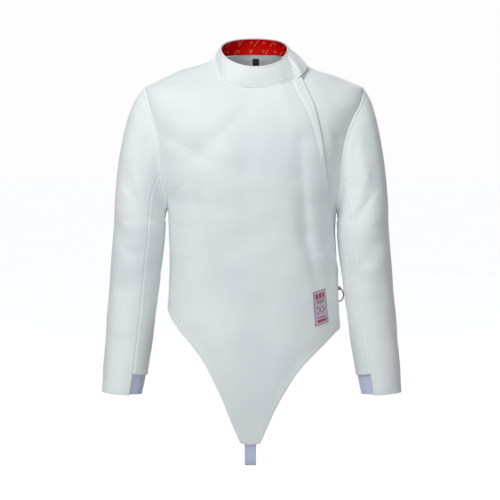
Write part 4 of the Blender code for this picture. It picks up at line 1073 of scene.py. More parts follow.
def neck_tag(name, width, drop, top_height, lift, columns=14, rows=16, curl=0.0):
    x = NECK_LABEL_X + width * (even(columns) - 0.5)[None] * np.ones((rows + 1, 1))
    height = top_height - drop * even(rows)[:, None] * np.ones((1, columns + 1))
    places = np.stack([x, np.zeros_like(x), height], axis=-1)
    half = np.where(x > 0, torso["left_half"](height), torso["right_half"](height))
    angle = -np.arccos(np.sign(x) * np.minimum(1.0, np.abs(x) / half) ** (SECTION_POWER / 2))
    normals = body_normal(angle, height)
    places = body_point(angle, height) - normals * (WALL + lift)
    places = places - normals * (curl * even(rows) ** 2)[:, None, None]
    return wall(name, places, places - normals * LABEL_WALL)


def zip_angle(height):
    return np.interp(height, FLAP[:, 1], FLAP[:, 0]) - math.radians(ZIP_BEHIND_EDGE)


def slider_frame():
    height = np.float64(SLIDER_HEIGHT)
    angle = zip_angle(height)
    normal = body_normal(angle, height)
    out = unit(np.array([normal[0], normal[1], 0.0]))
    return body_point(angle, height) + normal * (2 * SEAM_GAP + THIN_WALL), out


def ring_hole():
    seat, out = slider_frame()
    return seat + out * (SLIDER_SIZE[1] + LUG_REACH / 2) + np.array([0, 0, -SLIDER_SIZE[2] / 4])


def torus(name, centre, across, up, radius, wire, count=96, around=20):
    turn = np.linspace(0, 2 * math.pi, count, endpoint=False)
    away = np.cos(turn)[:, None] * across + np.sin(turn)[:, None] * up
    out = np.cross(across, up)
    spin = np.linspace(0, 2 * math.pi, around, endpoint=False)
    rings = (centre + away[:, None] * (radius + wire * np.cos(spin))[None, :, None]
             + out * (wire * np.sin(spin))[None, :, None])
    return tube(name, rings, closed_along=True)


def rounded_box(name, size, centre, across, out, bevel):
    shaped = bmesh.new()
    bmesh.ops.create_cube(shaped, size=1.0)
    bmesh.ops.scale(shaped, vec=size, verts=shaped.verts)
    bmesh.ops.bevel(shaped, geom=list(shaped.edges), offset=bevel, segments=4, profile=0.5, affect="EDGES")
    turn = Matrix((across, out, (0, 0, 1))).transposed().to_4x4()
    bmesh.ops.transform(shaped, matrix=Matrix.Translation(Vector(centre)) @ turn, verts=shaped.verts)
    points = [tuple(v.co) for v in shaped.verts]
    faces = [[v.index for v in face.verts] for face in shaped.faces]
    shaped.free()
    return mesh_object(name, points, faces, sharp=60)


def lug(name, seat, out):
    """The slider's lug: a plate with a round eye that the ring passes through."""
    across = np.array([-out[1], out[0], 0.0])
    hole = ring_hole()
    count = 48
    turn = np.linspace(0, 2 * math.pi, count, endpoint=False)
    eye_axis = np.array([math.cos(math.radians(RING_TURN)), -math.sin(math.radians(RING_TURN)), 0.0])
    middle = hole - out * 0.4
    power = 0.62
    shape_out = np.sign(np.cos(turn)) * np.abs(np.cos(turn)) ** power * (LUG_REACH + 0.8) / 2
    shape_up = np.sign(np.sin(turn)) * np.abs(np.sin(turn)) ** power * LUG_RISE / 2
    rings = []
    for depth, inset in ((-0.5, 0.35), (-0.42, 0.0), (0.42, 0.0), (0.5, 0.35)):
        scale_out, scale_up = 1 - 2 * inset / LUG_REACH, 1 - 2 * inset / LUG_RISE
        rings.append(middle + across * LUG_THICKNESS * depth + out * (shape_out * scale_out)[:, None]
                     + np.array([0, 0, 1.0]) * (shape_up * scale_up)[:, None])
    for depth, grow in ((0.5, 0.25), (0.42, 0.0), (-0.42, 0.0), (-0.5, 0.25)):
        spot = hole + across * LUG_THICKNESS * depth
        slide = (np.dot(across, eye_axis) * LUG_THICKNESS * depth)
        centre = hole + eye_axis * slide
        centre = centre + across * np.dot(spot - centre, across)
        rings.append(centre + out * (np.cos(turn) * (LUG_HOLE / 2 + grow) * 1.15)[:, None]
                     + np.array([0, 0, 1.0]) * (np.sin(turn) * (LUG_HOLE / 2 + grow))[:, None])
    return tube(name, np.array(rings), closed_along=True)


# Materials


def node(tree, kind, inputs=None, **settings):
    """Adds a node with its settings, and fills or links its inputs."""
    made = tree.nodes.new(kind)
    for key, value in settings.items():
        setattr(made, key, value)
    for key, value in (inputs or {}).items():
        if isinstance(value, bpy.types.NodeSocket):
            tree.links.new(value, made.inputs[key])
        else:
            made.inputs[key].default_value = value
    return made


def new_material(name, shader_inputs):
    """A material with one Principled shader, and its tree and shader."""
    material = bpy.data.materials.new(name)
    material.use_nodes = True
    tree = material.node_tree
    shader = tree.nodes["Principled BSDF"]
    for key, value in shader_inputs.items():
        shader.inputs[key].default_value = value
    material.diffuse_color = shader_inputs.get("Base Color", (0.8, 0.8, 0.8, 1))
    return material, tree, shader


def mixed(tree, factor, low, high):
    ramp = node(tree, "ShaderNodeMix", {0: factor, 6: low, 7: high}, data_type="RGBA")
    return ramp.outputs[2]


def protective_drill(settings):
    # Cotton and polyester drill, tightly woven and calendered: a matt white with a soft sheen at grazing angles, and
    # a twill line that shows only close to. Its threads are 0.4 mm apart, too fine for the render, so the twill is
    # drawn at 1.6 mm.
    material, tree, shader = new_material("white_protective_drill", {
        "Roughness": 0.68, "Sheen Weight": 0.22, "Sheen Roughness": 0.45, "IOR": 1.5})
    where = node(tree, "ShaderNodeTexCoord")
    split = node(tree, "ShaderNodeSeparateXYZ", {0: where.outputs["UV"]})
    twill = node(tree, "ShaderNodeMath", {0: split.outputs[0], 1: split.outputs[1]}, operation="ADD")
    lines = node(tree, "ShaderNodeMath", {0: twill.outputs[0], 1: 2 * math.pi / 0.0016}, operation="MULTIPLY")
    wave = node(tree, "ShaderNodeMath", {0: lines.outputs[0]}, operation="SINE")
    weft = node(tree, "ShaderNodeMath", {0: split.outputs[0], 1: 2 * math.pi / 0.0011}, operation="MULTIPLY")
    weft_wave = node(tree, "ShaderNodeMath", {0: weft.outputs[0]}, operation="SINE")
    weave = node(tree, "ShaderNodeMath", {0: wave.outputs[0], 1: weft_wave.outputs[0]}, operation="ADD")
    cloud = node(tree, "ShaderNodeTexNoise", {"Vector": where.outputs["Object"], "Scale": 5.5, "Detail": 3.0})
    fine = node(tree, "ShaderNodeTexNoise", {"Vector": where.outputs["UV"], "Scale": 420.0, "Detail": 2.0})
    spread = node(tree, "ShaderNodeMapRange", {"Value": cloud.outputs["Fac"], 1: 0.35, 2: 0.65})
    colour = mixed(tree, spread.outputs[0], tuple(settings.cloth_shade), tuple(settings.cloth_light))
    slub = node(tree, "ShaderNodeMapRange", {"Value": fine.outputs["Fac"], 1: 0.3, 2: 0.7, 3: 0.0, 4: 0.16})
    colour = mixed(tree, slub.outputs[0], colour, tuple(settings.cloth_shade))
    tree.links.new(colour, shader.inputs["Base Color"])
    rough = node(tree, "ShaderNodeMapRange", {"Value": fine.outputs["Fac"], 3: 0.62, 4: 0.76})
    tree.links.new(rough.outputs[0], shader.inputs["Roughness"])
    bump = node(tree, "ShaderNodeBump", {"Height": weave.outputs[0], "Strength": 0.10, "Distance": 0.0003})
    uneven = node(tree, "ShaderNodeBump", {
        "Height": cloud.outputs["Fac"], "Strength": 0.25, "Distance": 0.004, "Normal": bump.outputs[0]})
    tree.links.new(uneven.outputs[0], shader.inputs["Normal"])
    return material


def printed_lining(settings):
    # Polyester lining, dyed red and printed: a smooth satin face, with a sparse pale print of slanting dashes and
    # small four-pointed diamonds.
    material, tree, shader = new_material("red_printed_lining", {
        "Roughness": 0.6, "Specular IOR Level": 0.06, "IOR": 1.5})
    where = node(tree, "ShaderNodeTexCoord")
    cloud = node(tree, "ShaderNodeTexNoise", {"Vector": where.outputs["Object"], "Scale": 22.0, "Detail": 2.0})
    ground = mixed(tree, cloud.outputs["Fac"], tuple(settings.lining_shade), tuple(settings.lining_colour))
    split = node(tree, "ShaderNodeSeparateXYZ", {0: where.outputs["UV"]})

    def repeat(socket, pitch, shift):
        moved = node(tree, "ShaderNodeMath", {0: socket, 1: 1 / pitch, 2: shift}, operation="MULTIPLY_ADD")
        part = node(tree, "ShaderNodeMath", {0: moved.outputs[0]}, operation="FRACT")
        middle = node(tree, "ShaderNodeMath", {0: part.outputs[0], 1: 0.5}, operation="SUBTRACT")
        return node(tree, "ShaderNodeMath", {0: middle.outputs[0]}, operation="ABSOLUTE").outputs[0]

    # Diamonds every 27 by 19 mm
    sum_of = node(tree, "ShaderNodeMath", {
        0: node(tree, "ShaderNodeMath", {0: repeat(split.outputs[0], 0.027, 0.2), 1: 27.0}, operation="MULTIPLY").outputs[0],
        1: node(tree, "ShaderNodeMath", {0: repeat(split.outputs[1], 0.019, 0.1), 1: 19.0}, operation="MULTIPLY").outputs[0],
    }, operation="ADD")
    outline = node(tree, "ShaderNodeMath", {0: sum_of.outputs[0], 1: 2.4}, operation="SUBTRACT")
    outline = node(tree, "ShaderNodeMath", {0: outline.outputs[0]}, operation="ABSOLUTE")
    diamond = node(tree, "ShaderNodeMath", {0: outline.outputs[0], 1: 0.6}, operation="LESS_THAN")
    # Dashes that slant the other way, every 34 mm
    slant = node(tree, "ShaderNodeMath", {0: split.outputs[1], 1: -0.55, 2: split.outputs[0]}, operation="MULTIPLY_ADD")
    dash = node(tree, "ShaderNodeMath", {0: repeat(slant.outputs[0], 0.034, 0.55), 1: 0.018}, operation="LESS_THAN")
    run = node(tree, "ShaderNodeMath", {0: repeat(split.outputs[1], 0.023, 0.35), 1: 0.34}, operation="LESS_THAN")
    dash = node(tree, "ShaderNodeMath", {0: dash.outputs[0], 1: run.outputs[0]}, operation="MULTIPLY")
    motif = node(tree, "ShaderNodeMath", {0: diamond.outputs[0], 1: dash.outputs[0]}, operation="MAXIMUM")
    faint = node(tree, "ShaderNodeMath", {0: motif.outputs[0], 1: 0.6}, operation="MULTIPLY")
    colour = mixed(tree, faint.outputs[0], ground, linear("#f49a92"))
    tree.links.new(colour, shader.inputs["Base Color"])
    bump = node(tree, "ShaderNodeBump", {"Height": cloud.outputs["Fac"], "Strength": 0.3, "Distance": 0.002})
    tree.links.new(bump.outputs[0], shader.inputs["Normal"])
    return material


def ribbed_elastic(settings):
    # Woven elastic webbing, polyester over rubber: lavender grey, matt, with fine lines along its ribs that are painted
    # shade, darker in the grooves and mottled at random.
    material, tree, shader = new_material("lavender_elastic_webbing", {
        "Roughness": 0.78, "Sheen Weight": 0.3, "IOR": 1.5})
    where = node(tree, "ShaderNodeTexCoord")
    split = node(tree, "ShaderNodeSeparateXYZ", {0: where.outputs["UV"]})
    line = node(tree, "ShaderNodeMath", {0: split.outputs[1], 1: 2 * math.pi / 0.0018}, operation="MULTIPLY")
    wave = node(tree, "ShaderNodeMath", {0: line.outputs[0]}, operation="SINE")
    fine = node(tree, "ShaderNodeTexNoise", {"Vector": where.outputs["UV"], "Scale": 300.0})
    # Painted shade: the colour is darker in the grooves between the ribs, and mottled at random by the noise.
    painted_groove_shade = node(tree, "ShaderNodeMapRange", {"Value": wave.outputs[0], 1: -1.0, 2: 1.0, 3: 0.25, 4: 0.75})
    mottled_groove_shade = node(tree, "ShaderNodeMath", {0: painted_groove_shade.outputs[0], 1: fine.outputs["Fac"]}, operation="MULTIPLY")
    colour = mixed(tree, mottled_groove_shade.outputs[0], tuple(settings.elastic_shade), tuple(settings.elastic_colour))
    tree.links.new(colour, shader.inputs["Base Color"])
    bump = node(tree, "ShaderNodeBump", {"Height": wave.outputs[0], "Strength": 0.25, "Distance": 0.0004})
    tree.links.new(bump.outputs[0], shader.inputs["Normal"])
    return material


def woven_label(name, low, high):
    # Damask-woven polyester label: satin, with fine crosswise threads drawn at 0.9 mm instead of 0.15 mm, and painted
    # shade in the grooves between them.
    material, tree, shader = new_material(name, {"Roughness": 0.5, "Sheen Weight": 0.15, "IOR": 1.5})
    where = node(tree, "ShaderNodeTexCoord")
    split = node(tree, "ShaderNodeSeparateXYZ", {0: where.outputs["UV"]})
    line = node(tree, "ShaderNodeMath", {0: split.outputs[1], 1: 2 * math.pi / 0.0009}, operation="MULTIPLY")
    wave = node(tree, "ShaderNodeMath", {0: line.outputs[0]}, operation="SINE")
    # Painted shade: the colour is darker in the grooves between the threads.
    painted_groove_shade = node(tree, "ShaderNodeMapRange", {"Value": wave.outputs[0], 1: -1.0, 2: 1.0, 3: 0.2, 4: 0.8})
    tree.links.new(mixed(tree, painted_groove_shade.outputs[0], linear(low), linear(high)), shader.inputs["Base Color"])
    bump = node(tree, "ShaderNodeBump", {"Height": wave.outputs[0], "Strength": 0.3, "Distance": 0.0002})
    tree.links.new(bump.outputs[0], shader.inputs["Normal"])
    return material


def sewing_thread():
    # Spun polyester thread: a shade brighter than the cloth, with a low sheen.
    material, tree, shader = new_material("white_sewing_thread", {
        "Roughness": 0.55, "Sheen Weight": 0.2, "IOR": 1.5})
    where = node(tree, "ShaderNodeTexCoord")
    fine = node(tree, "ShaderNodeTexNoise", {"Vector": where.outputs["Object"], "Scale": 700.0})
    tree.links.new(mixed(tree, fine.outputs["Fac"], linear("#cfd6d6"), linear("#f4f7f6")), shader.inputs["Base Color"])
    return material


def dark_nickel():
    # Black nickel plate on a zinc casting: dark, smooth, brighter where it is rubbed.
    material, tree, shader = new_material("black_nickel_plate", {"Metallic": 1.0, "Roughness": 0.3})
    where = node(tree, "ShaderNodeTexCoord")
    worn = node(tree, "ShaderNodeTexNoise", {"Vector": where.outputs["Object"], "Scale": 260.0, "Detail": 3.0})
    tree.links.new(mixed(tree, worn.outputs["Fac"], linear("#3a3b3f"), linear("#62646a")), shader.inputs["Base Color"])
    rough = node(tree, "ShaderNodeMapRange", {"Value": worn.outputs["Fac"], 3: 0.22, 4: 0.42})
    tree.links.new(rough.outputs[0], shader.inputs["Roughness"])
    return material


def studio_floor():
    # Matt painted studio floor.
    material, tree, shader = new_material("pale_studio_floor", {
        "Roughness": 0.9, "Base Color": linear("#f6f6f6"), "Specular IOR Level": 0.0})
    where = node(tree, "ShaderNodeTexCoord")
    fine = node(tree, "ShaderNodeTexNoise", {"Vector": where.outputs["Object"], "Scale": 0.8})
    tree.links.new(mixed(tree, fine.outputs["Fac"], linear("#f4f4f4"), linear("#f8f8f8")), shader.inputs["Base Color"])
    return material


MADE = {}


def material_named(name):
    if name not in MADE:
        settings = bpy.context.scene.jacket
        MADE[name] = {
            "drill": lambda: protective_drill(settings),
            "lining": lambda: printed_lining(settings),
            "elastic": lambda: ribbed_elastic(settings),
            "hip_label": lambda: woven_label("lavender_damask_label", "#b9aabd", "#d2c6d3"),
            "hip_border": lambda: woven_label("mauve_woven_border", "#8f7f92", "#a595a8"),
            "plum": lambda: woven_label("plum_woven_print", "#5d2b42", "#7a3d55"),
            "maroon": lambda: woven_label("maroon_woven_print", "#96324c", "#b04560"),
            "neck_label": lambda: woven_label("white_woven_label", "#f3ecf3", "#fffaff"),
            "size_tab": lambda: woven_label("black_satin_tab", "#0b0b0c", "#1a1a1c"),
            "tape": lambda: woven_label("white_zip_tape", "#c3cacd", "#dfe4e5"),
            "thread": sewing_thread,
            "nickel": dark_nickel,
            "floor": studio_floor,
        }[name]()
    return MADE[name]


def stitch_tree():
    """Geometry Nodes that set a bead of thread at each step along a line."""
    if "Stitches along a line" in bpy.data.node_groups:
        return bpy.data.node_groups["Stitches along a line"]
    tree = bpy.data.node_groups.new("Stitches along a line", "GeometryNodeTree")
    face = tree.interface
    face.new_socket("Line", in_out="INPUT", socket_type="NodeSocketGeometry")
    for name, value in (("Pitch", 0.0036), ("Length", 0.0028), ("Thickness", 0.0007)):
        face.new_socket(name, in_out="INPUT", socket_type="NodeSocketFloat").default_value = value
    face.new_socket("Thread", in_out="INPUT", socket_type="NodeSocketMaterial")
    face.new_socket("Stitches", in_out="OUTPUT", socket_type="NodeSocketGeometry")
    start, end = node(tree, "NodeGroupInput"), node(tree, "NodeGroupOutput")
    line = node(tree, "GeometryNodeMeshToCurve", {0: start.outputs["Line"]})
    spaced = node(tree, "GeometryNodeResampleCurve", {"Curve": line.outputs[0], "Length": start.outputs["Pitch"]}, mode="LENGTH")
    bead = node(tree, "GeometryNodeMeshIcoSphere", {"Radius": 0.5, "Subdivisions": 1})
    uneven = node(tree, "FunctionNodeRandomValue", {2: 0.86, 3: 1.1, "Seed": 11}, data_type="FLOAT")
    length = node(tree, "ShaderNodeMath", {0: start.outputs["Length"], 1: uneven.outputs[1]}, operation="MULTIPLY")
    size = node(tree, "ShaderNodeCombineXYZ", {
        0: start.outputs["Thickness"], 1: start.outputs["Thickness"], 2: length.outputs[0]})
    run = node(tree, "GeometryNodeInputTangent")
    turn = node(tree, "FunctionNodeAlignRotationToVector", {"Vector": run.outputs[0]}, axis="Z")
    placed = node(tree, "GeometryNodeInstanceOnPoints", {
        "Points": spaced.outputs[0], "Instance": bead.outputs["Mesh"], "Rotation": turn.outputs[0],
        "Scale": size.outputs[0]})
    real = node(tree, "GeometryNodeRealizeInstances", {0: placed.outputs[0]})
    painted = node(tree, "GeometryNodeSetMaterial", {0: real.outputs[0], "Material": start.outputs["Thread"]})
    tree.links.new(painted.outputs[0], end.inputs[0])
    return tree


def sewn(name, lines, values, material):
    """Stitches along lines of places, as one plain mesh."""
    points, edges = [], []
    for line in lines:
        first = len(points)
        points += (np.asarray(line) * MM).tolist()
        edges += [(first + i, first + i + 1) for i in range(len(line) - 1)]
    mesh = bpy.data.meshes.new(name)
    mesh.from_pydata(points, edges, [])
    path = bpy.data.objects.new(name, mesh)
    bpy.context.scene.collection.objects.link(path)
    tree = stitch_tree()
    modifier = path.modifiers.new("stitches", "NODES")
    modifier.node_group = tree
    values = dict(values, Thread=material)
    for socket in tree.interface.items_tree:
        if getattr(socket, "in_out", "") == "INPUT" and socket.name in values:
            modifier[socket.identifier] = values[socket.name]
    bpy.context.view_layer.update()
    made = bpy.data.meshes.new_from_object(path.evaluated_get(bpy.context.evaluated_depsgraph_get()))
    path.modifiers.clear()
    path.data = made
    made.name = name
    bpy.data.meshes.remove(mesh)
    made.shade_smooth()
    finish_piece(path, material)
    return path


SEAMS = nearest(seam_lines())
STITCH_LINES = []


def stitch_beside(line, offset, inside, outward, lift=0.25):
    places, _ = beside_line(line, [offset], inside, outward, SEAMS, [lift])
    STITCH_LINES.append(places[:, 0])


def edge_lines():
    """The free and sewn edges of the body that carry hems or topstitching."""
    tip = resample(smooth_line(front_line(TAIL_TIP)), even(8))
    tail = np.concatenate([
        resample(leg_line("right"), even(220))[:-5], tip[[0, 4, 8]], resample(leg_line("left"), even(220))[5:]])
    return {
        "tail": tail,
        "flap": resample(FLAP, even(300))[:-1],
        "neck_front": resample(neck_line("front"), even(200))[:-3],
        "back_hem": resample(hem_line(), even(260)),
        "neck_back": resample(neck_line("back"), even(140)),
    }


EDGES = edge_lines()


class JacketSettings(bpy.types.PropertyGroup):
    stitch_pitch: bpy.props.FloatProperty(
        name="Stitch pitch", description="Distance from one stitch to the next", default=0.0036, unit="LENGTH")
    stitch_length: bpy.props.FloatProperty(
        name="Stitch length", description="Length of thread that shows at each stitch", default=0.0027, unit="LENGTH")
    thread_width: bpy.props.FloatProperty(
        name="Thread width", description="Thickness of the sewing thread", default=0.0007, unit="LENGTH")
    rib_depth: bpy.props.FloatProperty(
        name="Rib depth", description="Height of the ribs of the elastic, in millimetres", default=0.28)
    cloth_light: bpy.props.FloatVectorProperty(
        name="Cloth", description="Main colour of the cloth", subtype="COLOR", size=4, default=linear("#eef2f1"))
    cloth_shade: bpy.props.FloatVectorProperty(
        name="Cloth shade", description="Darker colour of the cloth", subtype="COLOR", size=4, default=linear("#e2e9ea"))
    lining_colour: bpy.props.FloatVectorProperty(
        name="Lining", description="Colour of the collar's lining", subtype="COLOR", size=4, default=linear("#d30601"))
    lining_shade: bpy.props.FloatVectorProperty(
        name="Lining shade", description="Darker colour of the lining", subtype="COLOR", size=4, default=linear("#ac0401"))
    elastic_colour: bpy.props.FloatVectorProperty(
        name="Elastic", description="Colour of the elastic", subtype="COLOR", size=4, default=linear("#d9dded"))
    elastic_shade: bpy.props.FloatVectorProperty(
        name="Elastic shade", description="Darker colour of the elastic", subtype="COLOR", size=4, default=linear("#bec5dc"))


class JACKET_OT_body(bpy.types.Operator):
    """Makes the wrap-over front with its tail, the wearer's left front and the back"""

    bl_idname = "jacket.body"
    bl_label = "Body panels"

    def execute(self, context):
        drill = material_named("drill")
        panel("front_shell", settled(coons(*front_lines(150, (58, 104, 52)))), placket_raise, SEAMS, drill,
              "front_panel")
        panel("left_front_shell", settled(coons(*under_lines(56, (54, 92, 40)))), tucked_in, SEAMS, drill,
              "left_front_panel")
        panel("back_shell", settled(coons(*back_lines(120, (50, 80, 40)))), no_raise, SEAMS, drill,
              "back_panel")
        return {"FINISHED"}


class JACKET_OT_hems(bpy.types.Operator):
    """Makes the turned hems of the legs, the tail's tip, the back and the flap, and the band along the neck seam"""

    bl_idname = "jacket.hems"
    bl_label = "Hems"

    def execute(self, context):
        front = [
            band("tail", EDGES["tail"], HEM_PROFILE, 1, placket_raise, SEAMS),
            band("flap", EDGES["flap"], EDGE_PROFILE, 1, placket_raise, SEAMS),
            band("neck_front", EDGES["neck_front"], NECK_PROFILE, -1, placket_raise, SEAMS),
        ]
        back = [
            band("back_hem", EDGES["back_hem"], HEM_PROFILE, -1, no_raise, SEAMS),
            band("neck_back", EDGES["neck_back"], NECK_PROFILE, 1, no_raise, SEAMS),
        ]
        for name, things in (("front_hems", front), ("back_hems", back)):
            finish_piece(merged(name, things), material_named("drill"))
        for key, offset, inside, outward in (
            ("tail", HEM_STITCH, 1, placket_raise), ("flap", EDGE_STITCH, 1, placket_raise),
            ("neck_front", NECK_STITCH, -1, placket_raise),
            ("back_hem", HEM_STITCH, -1, no_raise), ("neck_back", NECK_STITCH, 1, no_raise),
        ):
            stitch_beside(EDGES[key], offset, inside, outward)
        placket = resample(smooth_line(front_line(drawn(PLACKET))), even(80))
        stitch_beside(placket, 0.0, 1, placket_raise, 0.25)
        return {"FINISHED"}


class JACKET_OT_collar(bpy.types.Operator):
    """Makes the stand collar with its tab, and its lining"""

    bl_idname = "jacket.collar"
    bl_label = "Collar"

    def execute(self, context):
        columns, rows = even(COLLAR_COLUMNS * 6), dense_ends(34, 0.4, 0.4, 0.2) * 1.014 - 0.014
        base = collar_grid(columns, rows)
        normals = grid_normals(base)
        relief = collar_relief(base)
        places = base + normals * relief[..., None]
        thing = finish_piece(wall("collar_shell", places, base - normals * WALL), material_named("drill"),
                             ["collar"])

        up = flat_map(base)[..., 1]
        for height in (4.0,):
            row = int(np.argmin(np.abs(up.mean(axis=1) - height)))
            STITCH_LINES.append(places[row] + normals[row] * 0.3)
        row = int(np.argmin(np.abs(up.mean(axis=1)[-1] - up.mean(axis=1) - 4.2)))
        STITCH_LINES.append(places[row] + normals[row] * 0.3)

        shown = slice(LINING_START * 6, (COLLAR_COLUMNS - LINING_END) * 6 + 1)
        face = base - normals * (WALL + SEAM_GAP)
        low, high = face[0, shown], face[-1, shown]
        tall = np.linalg.norm(high - low, axis=-1, keepdims=True)
        span = unit(high - low)
        low, high = low + span * 1.0, high - span * LINING_STAND
        share = even(24)[:, None, None]
        outer = low * (1 - share) + high * share
        arch = (base[None, len(rows) // 2, shown] - (base[0, shown] + base[-1, shown])[None] / 2)
        outer = outer + arch * 4 * share * (1 - share)
        hang = 0.5 * np.sin(np.arange(outer.shape[1]) * 0.11)[None] * np.sin(np.pi * share[..., 0])
        inner_normals = normals[:1, shown] * np.ones((25, 1, 1))
        outer = outer - inner_normals * (0.5 + hang)[..., None]
        lining = wall("lining_shell", outer, outer - inner_normals * THIN_WALL)
        finish_piece(lining, material_named("lining"), ["collar_lining"])
        assert tall.min() > 10
        return {"FINISHED"}


class JACKET_OT_sleeves(bpy.types.Operator):
    """Makes both pieces of each sleeve and the ribbed elastic in each cuff"""

    bl_idname = "jacket.sleeves"
    bl_label = "Sleeves"

    def execute(self, context):
        drill, elastic = material_named("drill"), material_named("elastic")
        for side in ("right", "left"):
            for part, start, end, columns, last, hem in (
                ("upper", -SLEEVE_SEAM, SLEEVE_SEAM, 76, 1.0, CUFF_STITCHES),
                ("under", SLEEVE_SEAM, 360 - SLEEVE_SEAM, 44, elastic_down(), (7.0,)),
            ):
                places, normals = sleeve_grid(side, start, end, columns, 190, last, hem)
                name = part + "_sleeve_" + side
                thing = wall(name + "_shell", places, places - normals * WALL)
                finish_piece(thing, drill, [name])
                from_top = flat_map(places)[..., 1].mean(axis=1)
                for stitch in hem:
                    row = int(np.argmin(np.abs(from_top[-1] - from_top - stitch)))
                    STITCH_LINES.append(places[row, 1:-1] + normals[row, 1:-1] * 0.3)
            self.cuff(side, elastic, context.scene.jacket.rib_depth)
        return {"FINISHED"}

    def cuff(self, side, elastic, rib):
        top = elastic_down() - CUFF_TUCK / (FIRST_SECTION - LAST_SECTION) * (1 - CAP_SHARE)
        down = np.linspace(top, 0.998, 22)[:, None] * np.ones((1, 217))
        angle = np.radians(np.linspace(SLEEVE_SEAM - 3, 360 - SLEEVE_SEAM + 3, 217))[None] * np.ones((22, 1))
        places, normals = sleeve_surface(side, angle, down)
        relief = rib * np.sin(np.linspace(0, 1, 217) * 2 * math.pi * 44)[None] - CUFF_INSET - 0.4
        gather = 0.5 * np.sin(np.linspace(0, 1, 217) * 2 * math.pi * 5 + 1.0)[None]
        places = places + normals * (relief + gather)[..., None]
        thing = wall("cuff_elastic_" + side + "_shell", places, places - normals * THIN_WALL)
        finish_piece(thing, elastic, ["cuff_elastic_" + side])


class JACKET_OT_strap(bpy.types.Operator):
    """Makes the ribbed elastic strap between the legs"""

    bl_idname = "jacket.strap"
    bl_label = "Strap"

    def execute(self, context):
        places, normals = strap_grid(50, 230)
        share = even(50)
        rib = context.scene.jacket.rib_depth * np.sin(share * 2 * math.pi * 10)
        edge = 0.35 * np.exp(-(np.minimum(share, 1 - share) * STRAP_WIDTH / 1.2) ** 2)
        outer = places - normals * (0.15 - 0.5 * rib - edge)[None, :, None] * 0.6
        inner = places + normals * (THIN_WALL + (0.5 * rib + edge)[None, :, None] * 0.6)
        thing = finish_piece(wall("crotch_strap_shell", outer, inner), material_named("elastic"),
                             ["crotch_strap"])
        return {"FINISHED"}


class JACKET_OT_labels(bpy.types.Operator):
    """Makes the hip patch with its plain woven bars, the neck label and the size tab"""

    bl_idname = "jacket.labels"
    bl_label = "Labels"

    def execute(self, context):
        base = label_patch("hip_label_shell", 0, 0, 1, 1, 1.0, LABEL_WALL, SEAMS, (40, 80))
        finish_piece(base, material_named("hip_label"), ["hip_label"])
        spots = label_spot(*np.meshgrid(even(8), even(16)))
        flat, area = cut_size(body_point(spots[..., 0], spots[..., 1]))
        groups = {
            "hip_border": [(0, 0, 1, 0.035), (0, 0.965, 1, 1), (0, 0.035, 0.085, 0.965), (0.915, 0.035, 1, 0.965)],
            "maroon": [(0.16, 0.09, 0.36, 0.24), (0.42, 0.09, 0.62, 0.24), (0.68, 0.09, 0.84, 0.24),
                       (0.18, 0.84, 0.82, 0.92)],
            "plum": [(0.18, 0.29, 0.82, 0.315), (0.26, 0.345, 0.74, 0.37), (0.18, 0.77, 0.82, 0.795)]
            + [(0.2 + 0.16 * i, 0.46 + 0.055 * ((i + j) % 2) + 0.11 * j, 0.3 + 0.16 * i, 0.5 + 0.055 * ((i + j) % 2) + 0.11 * j)
               for i in range(4) for j in range(2)],
        }
        for key, boxes in groups.items():
            things = [label_patch(key, *patch, 1.0 + 0.28, 0.5, SEAMS) for patch in boxes]
            finish_piece(merged("hip_label_" + key, things), material_named(key))
        for u0, v0, u1, v1 in ((0.04, 0.02, 0.96, 0.02), (0.96, 0.02, 0.96, 0.98), (0.96, 0.98, 0.04, 0.98),
                               (0.04, 0.98, 0.04, 0.02)):
            spots = label_spot(np.linspace(u0, u1, 30), np.linspace(v0, v1, 30))
            places, normals = surface(spots[:, 0], spots[:, 1], overlap_raise, SEAMS)
            STITCH_LINES.append(places + normals * 1.45)
        label = neck_tag("neck_label_shell", *NECK_LABEL_SIZE, NECK_LABEL_TOP, 1.0, curl=0.8)
        finish_piece(label, material_named("neck_label"), ["neck_label"])
        tab = neck_tag("size_tab_shell", *SIZE_TAB_SIZE, NECK_LABEL_TOP + 1, 2.1, curl=1.2)
        finish_piece(tab, material_named("size_tab"), ["size_tab"])
        print_rows = [neck_tag("row", 18.0 - 4 * (i % 2), 2.2, NECK_LABEL_TOP - 15 - 4.2 * i, 1.0 + LABEL_WALL * 0.6 + 0.25 + 0.2 * i, 8, 3)
                      for i in range(3)]
        finish_piece(merged("neck_label_rows", print_rows), material_named("maroon"))
        return {"FINISHED"}


